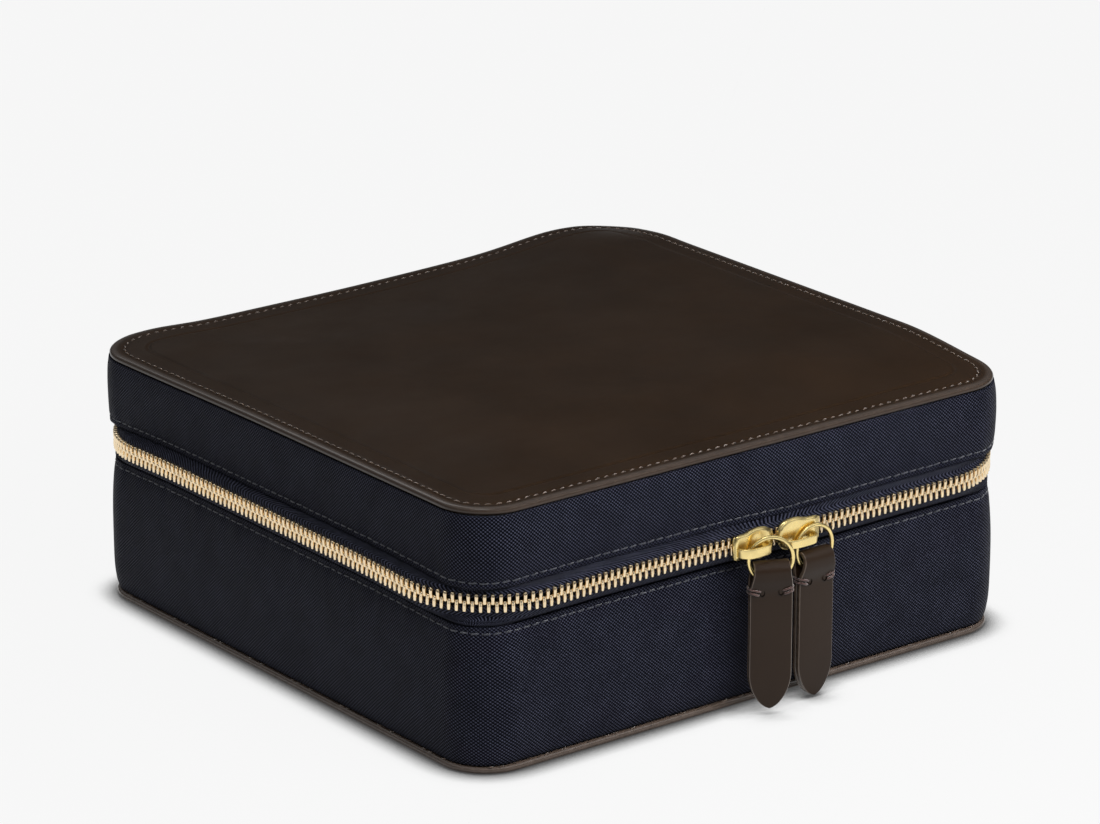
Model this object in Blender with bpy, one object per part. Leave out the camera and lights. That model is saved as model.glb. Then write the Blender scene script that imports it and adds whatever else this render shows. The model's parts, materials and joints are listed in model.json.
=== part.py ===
"""Square zip-round jewellery case: board-stiffened nylon walls, a leather lid panel and base, a zip with
two sliders, and a lift-out tray with ring rolls.

Lengths are in millimetres and MM turns them into Blender's metres. +Z is up, the zip's two sliders meet
on the front (-Y), and the origin is under the middle of the case, on the surface that it stands on.
"""

import math
from typing import NamedTuple

import bmesh
import bpy
from mathutils import Matrix, Vector

MM = 0.001

# Driving dimensions
WIDTH = 220.0  # outer, left to right
DEPTH = 213.0  # outer, front to back
HEIGHT = 90.8  # floor to the crown of the lid
WALL_CORNER = 16.0  # plan radius of the walls' corners
ZIP_CORNER = 29.6  # plan radius of the zip's corners, before its own offset
ZIP_Z = 56.8  # height of the zip's middle line
ZIP_PROUD = 5.4  # how far the teeth stand out from the walls
ZIP_BACK_INSET = 1.3  # the zip lies this much closer to the wall at the back
ZIP_END_X = 75.0  # the zip ends here on the back, on both sides of the hinge
HINGE_Y = DEPTH / 2 + 4.4  # the lid turns just outside the zip's last teeth
RIM_Z = 85.0  # underside of the lid's leather panel
LOWER_FOLD = ZIP_Z - 8.2  # top edge of the body's fabric
UPPER_FOLD = ZIP_Z + 4.8  # bottom edge of the lid's fabric
TAPE_HIDDEN = 4.8  # the body's tape reaches this far down behind its fabric
LID_TAPE_HIDDEN = 8.4  # and the lid's this far up
GAP = 0.3  # clearance between neighbouring pieces

FABRIC = 1.2  # wall fabric with its backing
LINING = 0.8
BOARD_INNER = -5.4  # offset of the wall boards' inner face
LINING_OUTER = BOARD_INNER - GAP
LINING_INNER = LINING_OUTER - LINING
BASE_LEATHER = 2.4
BASE_BOARD_TOP = 4.5
FLOOR_PAD_TOP = 8.0
PAD_CORNER = 10.3
POCKET_HALF_WIDTH = 96.0
POCKET_Y = (-52.0, 94.0)
POCKET_Z = (RIM_Z - 9.6, RIM_Z - 7.0)
ELASTIC_WIDTH = 4.7
CORNER_STEPS = 5

TOOTH_SLOT = 1.6  # between the two tooth strips, where a slider's post runs
TOOTH_HEIGHT = 1.9
TOOTH_DEPTH = 2.6
TEETH_END_X = ZIP_END_X + 4.0
STOP_LENGTH = 3.4
TAPE = 0.8
TAPE_BEHIND_TEETH = 1.1  # the tape's face lies this far behind the teeth's
BODY_TAPE_OFFSET = -2.5  # where the body's tape hangs down behind its fabric
LID_TAPE_OFFSET = -1.0

GUSSET_HALF_WIDTH = 72.0
GUSSET_Y = (DEPTH / 2 + 2.4, DEPTH / 2 + 3.6)
GUSSET_HALF_HEIGHT = 9.0

SLIDER_HALF_HEIGHT = 4.6
SLIDER_TAIL_STEP = 0.7  # the tail is this much lower than the shoulder
SLIDER_SHOULDER = 0.55  # of the way from tail to nose
SLIDER_NOSE = (1.6, 1.8)  # its chamfer, along and up
SLIDER_PLATE = 1.5
BACK_PLATE = 1.2
BACK_PLATE_TOP = ZIP_Z + 2.3
POST_LENGTH = 4.0
POST_HEIGHT = 1.0
POST_FROM_NOSE = 0.6
TOOL_OVERLAP = 0.5  # how far a joining piece reaches into its neighbour
BRIDGE_Z = {"left": (53.8, 57.0), "right": (53.2, 56.0)}
BRIDGE_ENDS = (0.4, 1.4)  # in from the slider's left and right ends
BRIDGE_BEND = 1.2
TUNNEL = 3.4  # between a slider's front plate and its bridge
BRIDGE_THICKNESS = 1.0
LEFT_SLIDER_X = (-13.2, 1.4)  # tail, nose
RIGHT_SLIDER_X = (20.2, 4.6)

RING_RADIUS = 7.2  # to the middle of the wire
WIRE_RADIUS = 0.65
RING_FROM_PLATE = 1.1  # the wire's middle, in front of the slider's plate
LEFT_RING = {"tunnel_x": -8.8, "z": 52.3, "turn": 25.0, "tip_z": 2.4}
RIGHT_RING = {"tunnel_x": 10.9, "z": 51.0, "turn": 1.0, "tip_z": 0.9}

PULLER_WIDTH = 13.9
PULLER_FOLD_WIDTH = 11.8
PULLER_LAYER = 1.6
PULLER_SLOT = 3.6  # inside the fold, across the ring's plane
PULLER_FOLD_TOP = -0.5  # from the ring's centre
PULLER_SLOT_BOTTOM = -8.8
PULLER_AXIS = -6.5
PULLER_POINT = 11.5  # length of the pointed end
PULLER_CURVE = (1.75, 0.57)  # exponents that round its sides and its tip
SLOT_NARROWS = 1.2  # over this height above its bottom
PULLER_JOINED = (3.0, 1.6)  # the layers close up from above the slot's bottom to below it
FOLD_SHOULDER = 2.0

CASE_HALF = (WIDTH / 2, DEPTH / 2)
TRAY_HALF = (100.5, 97.0)
TRAY_CORNER = 6.0
ROLL_MARGIN = 1.4  # keeps the rolls out of the tray's rounded corners
TRAY_BOTTOM = 28.0
TRAY_TOP = 52.0
TRAY_BASE = 2.0
TRAY_WALL = 2.2
DIVIDER = 2.4
TRAY_SPLIT_X = 22.0
TRAY_RIGHT_SPLIT_Y = -8.0
TRAY_LEFT_SPLIT_Y = -52.0
ROLL_COUNT = 6
ROLL_HEIGHT = 19.5
TAB_WIDTH = 16.0
TAB_THICKNESS = 1.0
TAB_Z = (TRAY_TOP - 12.0, TRAY_TOP + 3.0)
TAB_Y = {"left": -80.0, "right": 28.0}

NAVY = (0.022, 0.024, 0.036)
DARK_BROWN = (0.030, 0.019, 0.014)
TAPE_NAVY = (0.026, 0.028, 0.040)
PALE_BRASS = (0.80, 0.62, 0.36)
YELLOW_BRASS = (0.83, 0.62, 0.22)
BOARD_GREY = (0.24, 0.21, 0.18)
SUEDE_NAVY = (0.050, 0.052, 0.070)


def clear_scene():
    for obj in list(bpy.data.objects):
        bpy.data.objects.remove(obj, do_unlink=True)


def material(name, colour, roughness, metallic=0.0):
    made = bpy.data.materials.new(name)
    made.use_nodes = True
    shader = made.node_tree.nodes["Principled BSDF"]
    shader.inputs["Base Color"].default_value = (*colour, 1.0)
    shader.inputs["Roughness"].default_value = roughness
    shader.inputs["Metallic"].default_value = metallic
    made.diffuse_color = (*colour, 1.0)
    return made


def axis_empty(name, place):
    """An empty on a joint's axis, in world millimetres, that a moving body's pieces hang from."""
    empty = bpy.data.objects.new(name, None)
    empty.location = Vector(place) * MM
    bpy.context.collection.objects.link(empty)
    return empty


def add_object(name, points, faces, finish, parent=None):
    """A closed mesh from world points in millimetres, hung from its parent empty."""
    mesh = bpy.data.meshes.new(name)
    work = bmesh.new()
    origin = parent.location if parent else Vector()
    corners = [work.verts.new(Vector(point) * MM - origin) for point in points]
    for face in faces:
        work.faces.new([corners[i] for i in face])
    bmesh.ops.recalc_face_normals(work, faces=work.faces)
    work.to_mesh(mesh)
    work.free()
    mesh.materials.append(finish)
    made = bpy.data.objects.new(name, mesh)
    made.parent = parent
    bpy.context.collection.objects.link(made)
    return made


class Level(NamedTuple):
    """A rounded rectangle round the case at one height, grown by offset from half its plan size."""

    offset: float
    radius: float
    z: float
    back_inset: float = 0.0
    half: tuple = CASE_HALF


def on_wall(offset, z):
    return Level(offset, WALL_CORNER + offset, z)


def on_zip(offset, z):
    return Level(offset, ZIP_CORNER + offset, z, ZIP_BACK_INSET)


def ring_points(level, ends=None):
    """A level's points, counter-clockwise from the middle of the back. With ends given it is open: it
    starts and stops on the back at x = -ends and x = +ends."""
    right = level.half[0] + level.offset
    front = level.half[1] + level.offset
    back = front - level.back_inset
    points = [(-ends, back, level.z)] if ends else []
    corners = ((-1, back, 90), (-1, -front, 180), (1, -front, 270), (1, back, 0))
    for side, y, start in corners:
        centre_x = side * (right - level.radius)
        centre_y = y - math.copysign(level.radius, y)
        for x, y_round in arc((centre_x, centre_y), level.radius, start, start + 90, CORNER_STEPS):
            points.append((x, y_round, level.z))
    if ends:
        points.append((ends, back, level.z))
    return points


def band(name, section, finish, parent=None, ends=None):
    """A wall that runs round the case: its cross-section is a closed list of levels."""
    rings = [ring_points(level, ends) for level in section]
    count = len(rings[0])
    faces = []
    for level in range(len(rings)):
        low = level * count
        high = (level + 1) % len(rings) * count
        for i in range(count if ends is None else count - 1):
            j = (i + 1) % count
            faces.append((low + i, low + j, high + j, high + i))
    if ends is not None:
        faces.append([level * count for level in range(len(rings))])
        faces.append([level * count + count - 1 for level in range(len(rings))])
    return add_object(name, sum(rings, []), faces, finish, parent)


def slab(name, levels, finish, parent=None):
    """A rounded plate: levels from bottom to top, closed at both ends."""
    rings = [ring_points(level) for level in levels]
    count = len(rings[0])
    faces = [range(count), range((len(rings) - 1) * count, len(rings) * count)]
    for level in range(len(rings) - 1):
        low = level * count
        for i in range(count):
            j = (i + 1) % count
            faces.append((low + i, low + j, low + count + j, low + count + i))
    return add_object(name, sum(rings, []), faces, finish, parent)


def box(name, low, high, finish, parent=None):
    points = [(x, y, z) for z in (low[2], high[2]) for y in (low[1], high[1]) for x in (low[0], high[0])]
    faces = [(0, 1, 3, 2), (4, 5, 7, 6), (0, 1, 5, 4), (2, 3, 7, 6), (0, 2, 6, 4), (1, 3, 7, 5)]
    return add_object(name, points, faces, finish, parent)


def prism(name, outline, along, start, stop, finish, parent=None):
    """An outline pushed along one axis. It is drawn on the other two, in X, Y, Z order."""
    places = []
    for value in (start, stop):
        for first, second in outline:
            place = [first, second]
            place.insert("xyz".index(along), value)
            places.append(place)
    count = len(outline)
    faces = [range(count), range(count, 2 * count)]
    faces += [(i, (i + 1) % count, count + (i + 1) % count, count + i) for i in range(count)]
    return add_object(name, places, faces, finish, parent)


def boolean(obj, tool, operation):
    """Joins or cuts obj with a hidden tool."""
    tool.hide_render = True
    tool.display_type = "WIRE"
    change = obj.modifiers.new(f"{operation.lower()} {tool.name}", "BOOLEAN")
    change.operation = operation
    change.object = tool
    change.solver = "EXACT"


def arc(centre, radius, start, stop, steps):
    return [
        (
            centre[0] + radius * math.cos(math.radians(start + (stop - start) * step / steps)),
            centre[1] + radius * math.sin(math.radians(start + (stop - start) * step / steps)),
        )
        for step in range(steps + 1)
    ]


def wall_section(outer, inner_offset):
    """A wall's cross-section: its outer face bottom to top, then a straight inner face back down."""
    section = [on_wall(offset, z) for offset, z in outer]
    section.append(on_wall(inner_offset, outer[-1][1]))
    section.append(on_wall(inner_offset, outer[0][1]))
    return section


def fabric_section(outer):
    """A fabric wall: the same thickness all the way up."""
    section = [on_wall(offset, z) for offset, z in outer]
    section += [on_wall(offset - FABRIC, z) for offset, z in reversed(outer)]
    return section


def case_body(finish):
    """The stiffened tub: leather base, nylon walls over boards, lining, floor pad and well dividers."""
    slab(
        "base_leather_panel",
        [
            Level(-0.6, 17.8, 0.0),
            Level(0.1, 18.4, 0.7),
            Level(0.1, 18.4, 1.7),
            Level(-0.5, 17.9, BASE_LEATHER),
        ],
        finish["leather"],
    )
    slab("base_board", [on_wall(-2.8, BASE_LEATHER + GAP), on_wall(-2.8, BASE_BOARD_TOP)], finish["board"])
    outside = [(-1.1, 2.7), (-0.2, 6.0), (0.5, 13.0), (0.5, 30.0), (-0.2, 41.0), (-1.0, LOWER_FOLD)]
    band("body_fabric_band", fabric_section(outside), finish["nylon"])
    board = [(-2.4, 4.8), (-1.9, 6.0), (-1.1, 13.0), (-1.1, 30.0), (-1.8, 40.5)]
    board += [(-3.6, LOWER_FOLD - TAPE_HIDDEN - GAP), (-3.6, LOWER_FOLD + 2.0)]
    band("body_wall_board", wall_section(board, BOARD_INNER), finish["board"])
    lining = [(LINING_OUTER, FLOOR_PAD_TOP + GAP), (LINING_OUTER, LOWER_FOLD + 3.0)]
    band("body_lining", wall_section(lining, LINING_INNER), finish["suede"])
    pad = [Level(LINING_OUTER, PAD_CORNER, z) for z in (BASE_BOARD_TOP + GAP, FLOOR_PAD_TOP)]
    slab("floor_pad", pad, finish["suede"])
    low = FLOOR_PAD_TOP + GAP
    high = TRAY_BOTTOM - GAP
    side = WIDTH / 2 + LINING_INNER - GAP
    end = DEPTH / 2 + LINING_INNER - GAP
    half = DIVIDER / 2
    box("well_divider_long", (-half, -end, low), (half, end, high), finish["suede"])
    box("well_divider_left", (-side, -half, low), (-half - GAP, half, high), finish["suede"])
    box("well_divider_right", (half + GAP, -half, low), (side, half, high), finish["suede"])


def body_tape_section(edge):
    """The body's tape, from behind its fabric out to the edge that the lower teeth are clamped on."""
    outer = ZIP_PROUD - TAPE_BEHIND_TEETH
    behind = BODY_TAPE_OFFSET
    return [
        on_wall(behind, LOWER_FOLD - TAPE_HIDDEN),
        on_wall(behind, LOWER_FOLD + 0.2),
        on_zip(outer, edge - 1.8),
        on_zip(outer, edge),
        on_zip(outer - TAPE, edge),
        on_zip(outer - TAPE, edge - 1.2),
        on_wall(behind - TAPE, LOWER_FOLD + 0.7),
        on_wall(behind - TAPE, LOWER_FOLD - TAPE_HIDDEN),
    ]


def lid_tape_section(edge):
    """The lid's tape, from behind its fabric out to the edge that the upper teeth are clamped on."""
    outer = ZIP_PROUD - TAPE_BEHIND_TEETH
    behind = LID_TAPE_OFFSET
    return [
        on_wall(behind, UPPER_FOLD + LID_TAPE_HIDDEN),
        on_wall(behind, UPPER_FOLD - 0.3),
        on_zip(outer, UPPER_FOLD - 1.0),
        on_zip(outer, edge),
        on_zip(outer - TAPE, edge),
        on_zip(outer - TAPE - 1.0, edge),
        on_wall(behind - TAPE, UPPER_FOLD - 1.1),
        on_wall(behind - TAPE, UPPER_FOLD + LID_TAPE_HIDDEN),
    ]


def zip_half(row, sign, finish, parent):
    """One row of the zip: its tape from the fabric out to the teeth, its tooth strip and its two end stops.
    sign is -1 for the row on the body and +1 for the row on the lid."""
    near = ZIP_Z + sign * TOOTH_SLOT / 2
    far = near + sign * TOOTH_HEIGHT
    section = body_tape_section(far - GAP) if sign < 0 else lid_tape_section(far + GAP)
    band(f"{row}_zip_tape", section, finish["tape"], parent, ZIP_END_X)
    back = ZIP_PROUD - TOOTH_DEPTH
    teeth = [on_zip(ZIP_PROUD, near), on_zip(ZIP_PROUD, far), on_zip(back, far), on_zip(back, near)]
    band(f"{row}_zip_teeth", teeth, finish["brass"], parent, TEETH_END_X)
    face = DEPTH / 2 + ZIP_PROUD - ZIP_BACK_INSET
    start = TEETH_END_X - GAP - STOP_LENGTH
    for side, direction in (("left", -1), ("right", 1)):
        x_low, x_high = sorted((direction * start, direction * (start + STOP_LENGTH)))
        box(
            f"{row}_zip_stop_{side}",
            (x_low, face - TOOTH_DEPTH, min(near, far)),
            (x_high, face, max(near, far)),
            finish["brass"],
            parent,
        )


def lid(finish, parent):
    """The lid: leather panel, top board, nylon walls over boards, lining, padded inside and its pocket."""
    slab(
        "lid_leather_panel",
        [
            Level(-1.0, 16.2, RIM_Z),
            Level(-0.3, 17.0, RIM_Z + 0.9),
            Level(-0.8, 16.5, RIM_Z + 1.9),
            Level(-12.0, 8.0, RIM_Z + 3.6),
            Level(-50.0, 20.0, HEIGHT),
        ],
        finish["leather"],
        parent,
    )
    slab("lid_board", [on_wall(-1.6, RIM_Z - 2.1), on_wall(-1.6, RIM_Z - GAP)], finish["board"], parent)
    outside = [(0.5, UPPER_FOLD), (0.9, 68.0), (1.0, 75.0), (0.8, 81.0), (0.4, RIM_Z - GAP)]
    band("lid_fabric_band", fabric_section(outside), finish["nylon"], parent)
    board = [(-2.2, UPPER_FOLD + 0.1), (-2.2, UPPER_FOLD + LID_TAPE_HIDDEN + GAP)]
    board += [(-0.8, 73.0), (-0.7, 75.0), (-0.9, RIM_Z - 2.4)]
    band("lid_wall_board", wall_section(board, BOARD_INNER), finish["board"], parent)
    lining = [(LINING_OUTER, UPPER_FOLD - 1.6), (LINING_OUTER, RIM_Z - 7.0)]
    band("lid_lining", wall_section(lining, LINING_INNER), finish["suede"], parent)
    pad = [Level(LINING_OUTER, PAD_CORNER, z) for z in (RIM_Z - 6.7, RIM_Z - 2.4)]
    slab("lid_pad", pad, finish["suede"], parent)
    low, high = POCKET_Z
    front, rear = POCKET_Y
    side = POCKET_HALF_WIDTH
    box("lid_pocket", (-side, front, low), (side, rear, high), finish["suede"], parent)
    edge = front - GAP
    box(
        "lid_pocket_elastic",
        (-side, edge - ELASTIC_WIDTH, low - 0.4),
        (side, edge, high),
        finish["suede"],
        parent,
    )


def slider_outline(tail, nose):
    """A slider's plate from the front: a low tail, a shoulder and a chamfered nose."""
    forward = math.copysign(1.0, nose - tail)
    shoulder = tail + SLIDER_SHOULDER * (nose - tail)
    along = SLIDER_NOSE[0] * forward
    upper = [
        (nose, SLIDER_HALF_HEIGHT - SLIDER_NOSE[1]),
        (nose - along, SLIDER_HALF_HEIGHT),
        (shoulder, SLIDER_HALF_HEIGHT),
        (tail, SLIDER_HALF_HEIGHT - SLIDER_TAIL_STEP),
    ]
    lower = [(x, -height) for x, height in reversed(upper)]
    return [(x, ZIP_Z + height) for x, height in lower + upper]


def slider(side, ends, finish, parent):
    """A slider: two plates joined by a post between the tooth rows, and the bridge that the ring hangs on."""
    tail, nose = ends
    forward = math.copysign(1.0, nose - tail)
    front = -(DEPTH / 2 + ZIP_PROUD + GAP)
    back = -(DEPTH / 2 + ZIP_PROUD - TOOTH_DEPTH - GAP)
    outline = slider_outline(tail, nose)
    gold = finish["gold"]
    body = prism(f"{side}_slider_body", outline, "y", front - SLIDER_PLATE, front, gold, parent)
    low_outline = [(x, min(z, BACK_PLATE_TOP)) for x, z in outline if z < ZIP_Z or x in (nose, tail)]
    plate = prism(f"{side}_slider_back_plate", low_outline, "y", back, back + BACK_PLATE, gold, parent)
    post_ends = sorted((nose - forward * POST_FROM_NOSE, nose - forward * (POST_FROM_NOSE + POST_LENGTH)))
    post = box(
        f"{side}_slider_post",
        (post_ends[0], front - TOOL_OVERLAP, ZIP_Z - POST_HEIGHT / 2),
        (post_ends[1], back + TOOL_OVERLAP, ZIP_Z + POST_HEIGHT / 2),
        gold,
        parent,
    )
    boolean(body, post, "UNION")
    boolean(body, plate, "UNION")
    foot = front - SLIDER_PLATE - GAP
    inside = front - SLIDER_PLATE - TUNNEL
    outside = inside - BRIDGE_THICKNESS
    left = min(ends) + BRIDGE_ENDS[0]
    right = max(ends) - BRIDGE_ENDS[1]
    strap = bridge_side(left, right, foot, outside, BRIDGE_BEND)
    strap += reversed(bridge_side(left + BRIDGE_THICKNESS, right - BRIDGE_THICKNESS, foot, inside, 0.4))
    prism(f"{side}_slider_bridge", strap, "z", *BRIDGE_Z[side], gold, parent)


def bridge_side(left, right, foot, crown, bend):
    """One face of the bridge seen from above, from its left foot over its crown to its right foot."""
    return [
        (left, foot),
        (left, crown + bend),
        (left + bend, crown),
        (right - bend, crown),
        (right, crown + bend),
        (right, foot),
    ]


def ring_place(ring):
    """The middle of the ring and the level direction along its plane, to the right and outward."""
    turn = math.radians(ring["turn"])
    along = Vector((math.cos(turn), -math.sin(turn), 0.0))
    tunnel_y = -(DEPTH / 2 + ZIP_PROUD + GAP + SLIDER_PLATE + RING_FROM_PLATE)
    tunnel = Vector((ring["tunnel_x"], tunnel_y, ring["z"]))
    return tunnel, tunnel + along * RING_RADIUS, along


def torus(name, centre, along, finish, parent):
    """A wire ring that stands upright in the plane of along and Z."""
    around, across = 24, 6
    outward = along.cross(Vector((0.0, 0.0, 1.0)))
    points = []
    for i in range(around):
        turn = 2 * math.pi * i / around
        radial = along * math.cos(turn) + Vector((0.0, 0.0, math.sin(turn)))
        for j in range(across):
            roll = 2 * math.pi * j / across
            reach = RING_RADIUS + WIRE_RADIUS * math.cos(roll)
            points.append(centre + radial * reach + outward * WIRE_RADIUS * math.sin(roll))
    faces = []
    for i in range(around):
        for j in range(across):
            ahead = (i + 1) % around * across
            beside = (j + 1) % across
            faces.append((i * across + j, ahead + j, ahead + beside, i * across + beside))
    add_object(name, points, faces, finish, parent)


def pointed_end(wide, tip):
    """The puller's lower outline, from its left side round its point to its right side."""
    bow, blunt = PULLER_CURVE
    heights = [PULLER_POINT * part for part in (1.0, 0.7, 0.4, 0.2, 0.06)]
    left = [(-wide * (1 - (1 - height / PULLER_POINT) ** bow) ** blunt, tip + height) for height in heights]
    return left + [(0.0, tip)] + [(-x, z) for x, z in reversed(left)]


def puller(name, ring, finish, parent):
    """A leather strap folded over the ring and sewn together below it, with a pointed end."""
    _, centre, along = ring_place(ring)
    top = PULLER_FOLD_TOP
    radius = PULLER_SLOT / 2
    outer = radius + PULLER_LAYER
    tip = ring["tip_z"] - centre.z
    opens = PULLER_SLOT_BOTTOM + PULLER_JOINED[0]
    closed = PULLER_SLOT_BOTTOM - PULLER_JOINED[1]
    flat = PULLER_LAYER + 0.1
    side = arc((0.0, top - outer), outer, 0.0, 180.0, 8)
    side += [(-outer, opens), (-flat, closed), (-flat, tip), (flat, tip), (flat, closed), (outer, opens)]
    slot = arc((0.0, top - outer), radius, 0.0, 180.0, 6)
    narrows = PULLER_SLOT_BOTTOM + SLOT_NARROWS
    slot += [(-radius, narrows), (0.0, PULLER_SLOT_BOTTOM), (radius, narrows)]
    fold = PULLER_FOLD_WIDTH / 2
    wide = PULLER_WIDTH / 2
    face = [(fold, top + 0.5), (-fold, top + 0.5), (-fold, top - FOLD_SHOULDER), (-wide, PULLER_SLOT_BOTTOM)]
    face += pointed_end(wide, tip)
    face += [(wide, PULLER_SLOT_BOTTOM), (fold, top - FOLD_SHOULDER)]
    strap = prism(name, side, "x", -wide - 1.0, wide + 1.0, finish)
    hole = prism(f"{name}_slot", slot, "x", -wide - 2.0, wide + 2.0, finish)
    shape = prism(f"{name}_outline", face, "y", -outer - 1.0, outer + 1.0, finish)
    place = Matrix.Translation(centre * MM) @ Matrix.Rotation(math.atan2(along.y, along.x), 4, "Z")
    for piece in (strap, hole, shape):
        piece.parent = parent
        piece.matrix_local = Matrix.Translation(parent.location).inverted() @ place
    boolean(strap, hole, "DIFFERENCE")
    boolean(strap, shape, "INTERSECT")


def tray(finish, parent):
    """The lift-out tray: a walled board with three dividers, six ring rolls and two pull tabs."""
    suede = finish["suede"]

    def level(offset, z):
        return Level(offset, TRAY_CORNER + offset, z, half=TRAY_HALF)

    slab("tray_base", [level(0.0, TRAY_BOTTOM), level(0.0, TRAY_BOTTOM + TRAY_BASE)], suede, parent)
    low = TRAY_BOTTOM + TRAY_BASE + GAP
    section = [level(0.0, low), level(0.0, TRAY_TOP), level(-TRAY_WALL, TRAY_TOP), level(-TRAY_WALL, low)]
    band("tray_wall", section, suede, parent)
    inner_x = TRAY_HALF[0] - TRAY_WALL - GAP
    inner_y = TRAY_HALF[1] - TRAY_WALL - GAP
    left = TRAY_SPLIT_X - DIVIDER / 2
    right = TRAY_SPLIT_X + DIVIDER / 2
    top = TRAY_TOP - 1.0
    half = DIVIDER / 2
    dividers = {
        "long": (left, right, -inner_y, inner_y),
        "left": (-inner_x, left - GAP, TRAY_LEFT_SPLIT_Y - half, TRAY_LEFT_SPLIT_Y + half),
        "right": (right + GAP, inner_x, TRAY_RIGHT_SPLIT_Y - half, TRAY_RIGHT_SPLIT_Y + half),
    }
    for name, (x_low, x_high, y_low, y_high) in dividers.items():
        box(f"tray_divider_{name}", (x_low, y_low, low), (x_high, y_high, top), suede, parent)
    first = TRAY_LEFT_SPLIT_Y + half + GAP
    pitch = (inner_y - ROLL_MARGIN - first) / ROLL_COUNT
    radius = (pitch - GAP) / 2
    for number in range(ROLL_COUNT):
        middle = first + (number + 0.5) * pitch
        outline = [(middle + radius, low)]
        outline += arc((middle, low + ROLL_HEIGHT - radius), radius, 0.0, 180.0, 8)
        outline.append((middle - radius, low))
        prism(f"ring_roll_{number + 1}", outline, "x", -inner_x + ROLL_MARGIN, left - GAP, suede, parent)
    for side, sign in (("left", -1), ("right", 1)):
        face = inner_x - 0.1
        x_low, x_high = sorted((sign * face, sign * (face - TAB_THICKNESS)))
        middle = TAB_Y[side]
        box(
            f"tray_tab_{side}",
            (x_low, middle - TAB_WIDTH / 2, TAB_Z[0]),
            (x_high, middle + TAB_WIDTH / 2, TAB_Z[1]),
            finish["leather"],
            parent,
        )


def main():
    clear_scene()
    finish = {
        "leather": material("dark_brown_leather", DARK_BROWN, 0.45),
        "nylon": material("navy_nylon_twill", NAVY, 0.75),
        "tape": material("navy_zip_tape", TAPE_NAVY, 0.85),
        "brass": material("pale_brass_teeth", PALE_BRASS, 0.25, 1.0),
        "gold": material("yellow_brass_slider", YELLOW_BRASS, 0.22, 1.0),
        "board": material("stiffening_board", BOARD_GREY, 0.9),
        "suede": material("navy_suede_lining", SUEDE_NAVY, 0.95),
    }
    case_body(finish)
    hinge = axis_empty("lid_hinge_axis", (0.0, HINGE_Y, ZIP_Z))
    lid(finish, hinge)
    zip_half("lower", -1, finish, None)
    zip_half("upper", 1, finish, hinge)
    box(
        "hinge_gusset",
        (-GUSSET_HALF_WIDTH, GUSSET_Y[0], ZIP_Z - GUSSET_HALF_HEIGHT),
        (GUSSET_HALF_WIDTH, GUSSET_Y[1], ZIP_Z + GUSSET_HALF_HEIGHT),
        finish["nylon"],
    )
    for side, ends, ring in (("left", LEFT_SLIDER_X, LEFT_RING), ("right", RIGHT_SLIDER_X, RIGHT_RING)):
        tunnel, centre, along = ring_place(ring)
        run = axis_empty(f"{side}_slider_run", (sum(ends) / 2, -DEPTH / 2 - ZIP_PROUD, ZIP_Z))
        slider(side, ends, finish, run)
        swing = axis_empty(f"{side}_ring_axis", tunnel)
        torus(f"{side}_ring", centre, along, finish["gold"], swing)
        tilt = axis_empty(f"{side}_puller_axis", centre + Vector((0.0, 0.0, PULLER_AXIS)))
        puller(f"{side}_puller", ring, finish["leather"], tilt)
    lift = axis_empty("tray_lift_axis", (0.0, 0.0, TRAY_BOTTOM))
    tray(finish, lift)


main()
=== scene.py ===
"""Looks of the zip-round jewellery case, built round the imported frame.

Lengths are in millimetres in the frame's axes: +Z up, the front is -Y. MM turns them into Blender's metres.
"""

import json
import math

import bmesh
import bpy
import numpy as np
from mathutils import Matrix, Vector


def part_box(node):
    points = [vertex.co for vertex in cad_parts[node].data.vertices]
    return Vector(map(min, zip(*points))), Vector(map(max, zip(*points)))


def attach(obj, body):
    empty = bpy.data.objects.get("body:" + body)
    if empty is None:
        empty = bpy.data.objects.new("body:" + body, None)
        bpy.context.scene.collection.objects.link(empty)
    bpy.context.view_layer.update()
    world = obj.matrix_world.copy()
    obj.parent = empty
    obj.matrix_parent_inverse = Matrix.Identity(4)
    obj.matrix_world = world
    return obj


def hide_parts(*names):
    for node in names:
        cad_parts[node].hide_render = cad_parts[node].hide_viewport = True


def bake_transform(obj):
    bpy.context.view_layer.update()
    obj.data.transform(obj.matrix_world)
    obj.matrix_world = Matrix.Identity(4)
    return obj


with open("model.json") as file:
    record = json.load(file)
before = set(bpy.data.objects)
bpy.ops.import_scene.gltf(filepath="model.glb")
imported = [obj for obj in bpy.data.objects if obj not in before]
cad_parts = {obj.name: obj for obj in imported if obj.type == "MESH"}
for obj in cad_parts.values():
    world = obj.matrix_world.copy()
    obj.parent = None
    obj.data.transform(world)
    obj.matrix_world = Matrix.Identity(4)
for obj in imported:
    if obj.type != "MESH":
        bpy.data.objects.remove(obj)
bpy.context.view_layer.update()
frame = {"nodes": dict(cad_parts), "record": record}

MM = 0.001


def box_mm(node):
    """A CAD node's lowest and highest corners, in millimetres."""
    low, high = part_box(node)
    return np.array(low) / MM, np.array(high) / MM


# ---- Sizes, from the frame ----

WALL_BULGE = 0.5  # how far the body's fabric stands out from the nominal walls
WALL_CORNER = 16.0  # radius of the nominal walls' corners
ZIP_CORNER = 29.6
ZIP_BACK_INSET = 1.3  # how much nearer the middle the zip lies on the back

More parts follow.
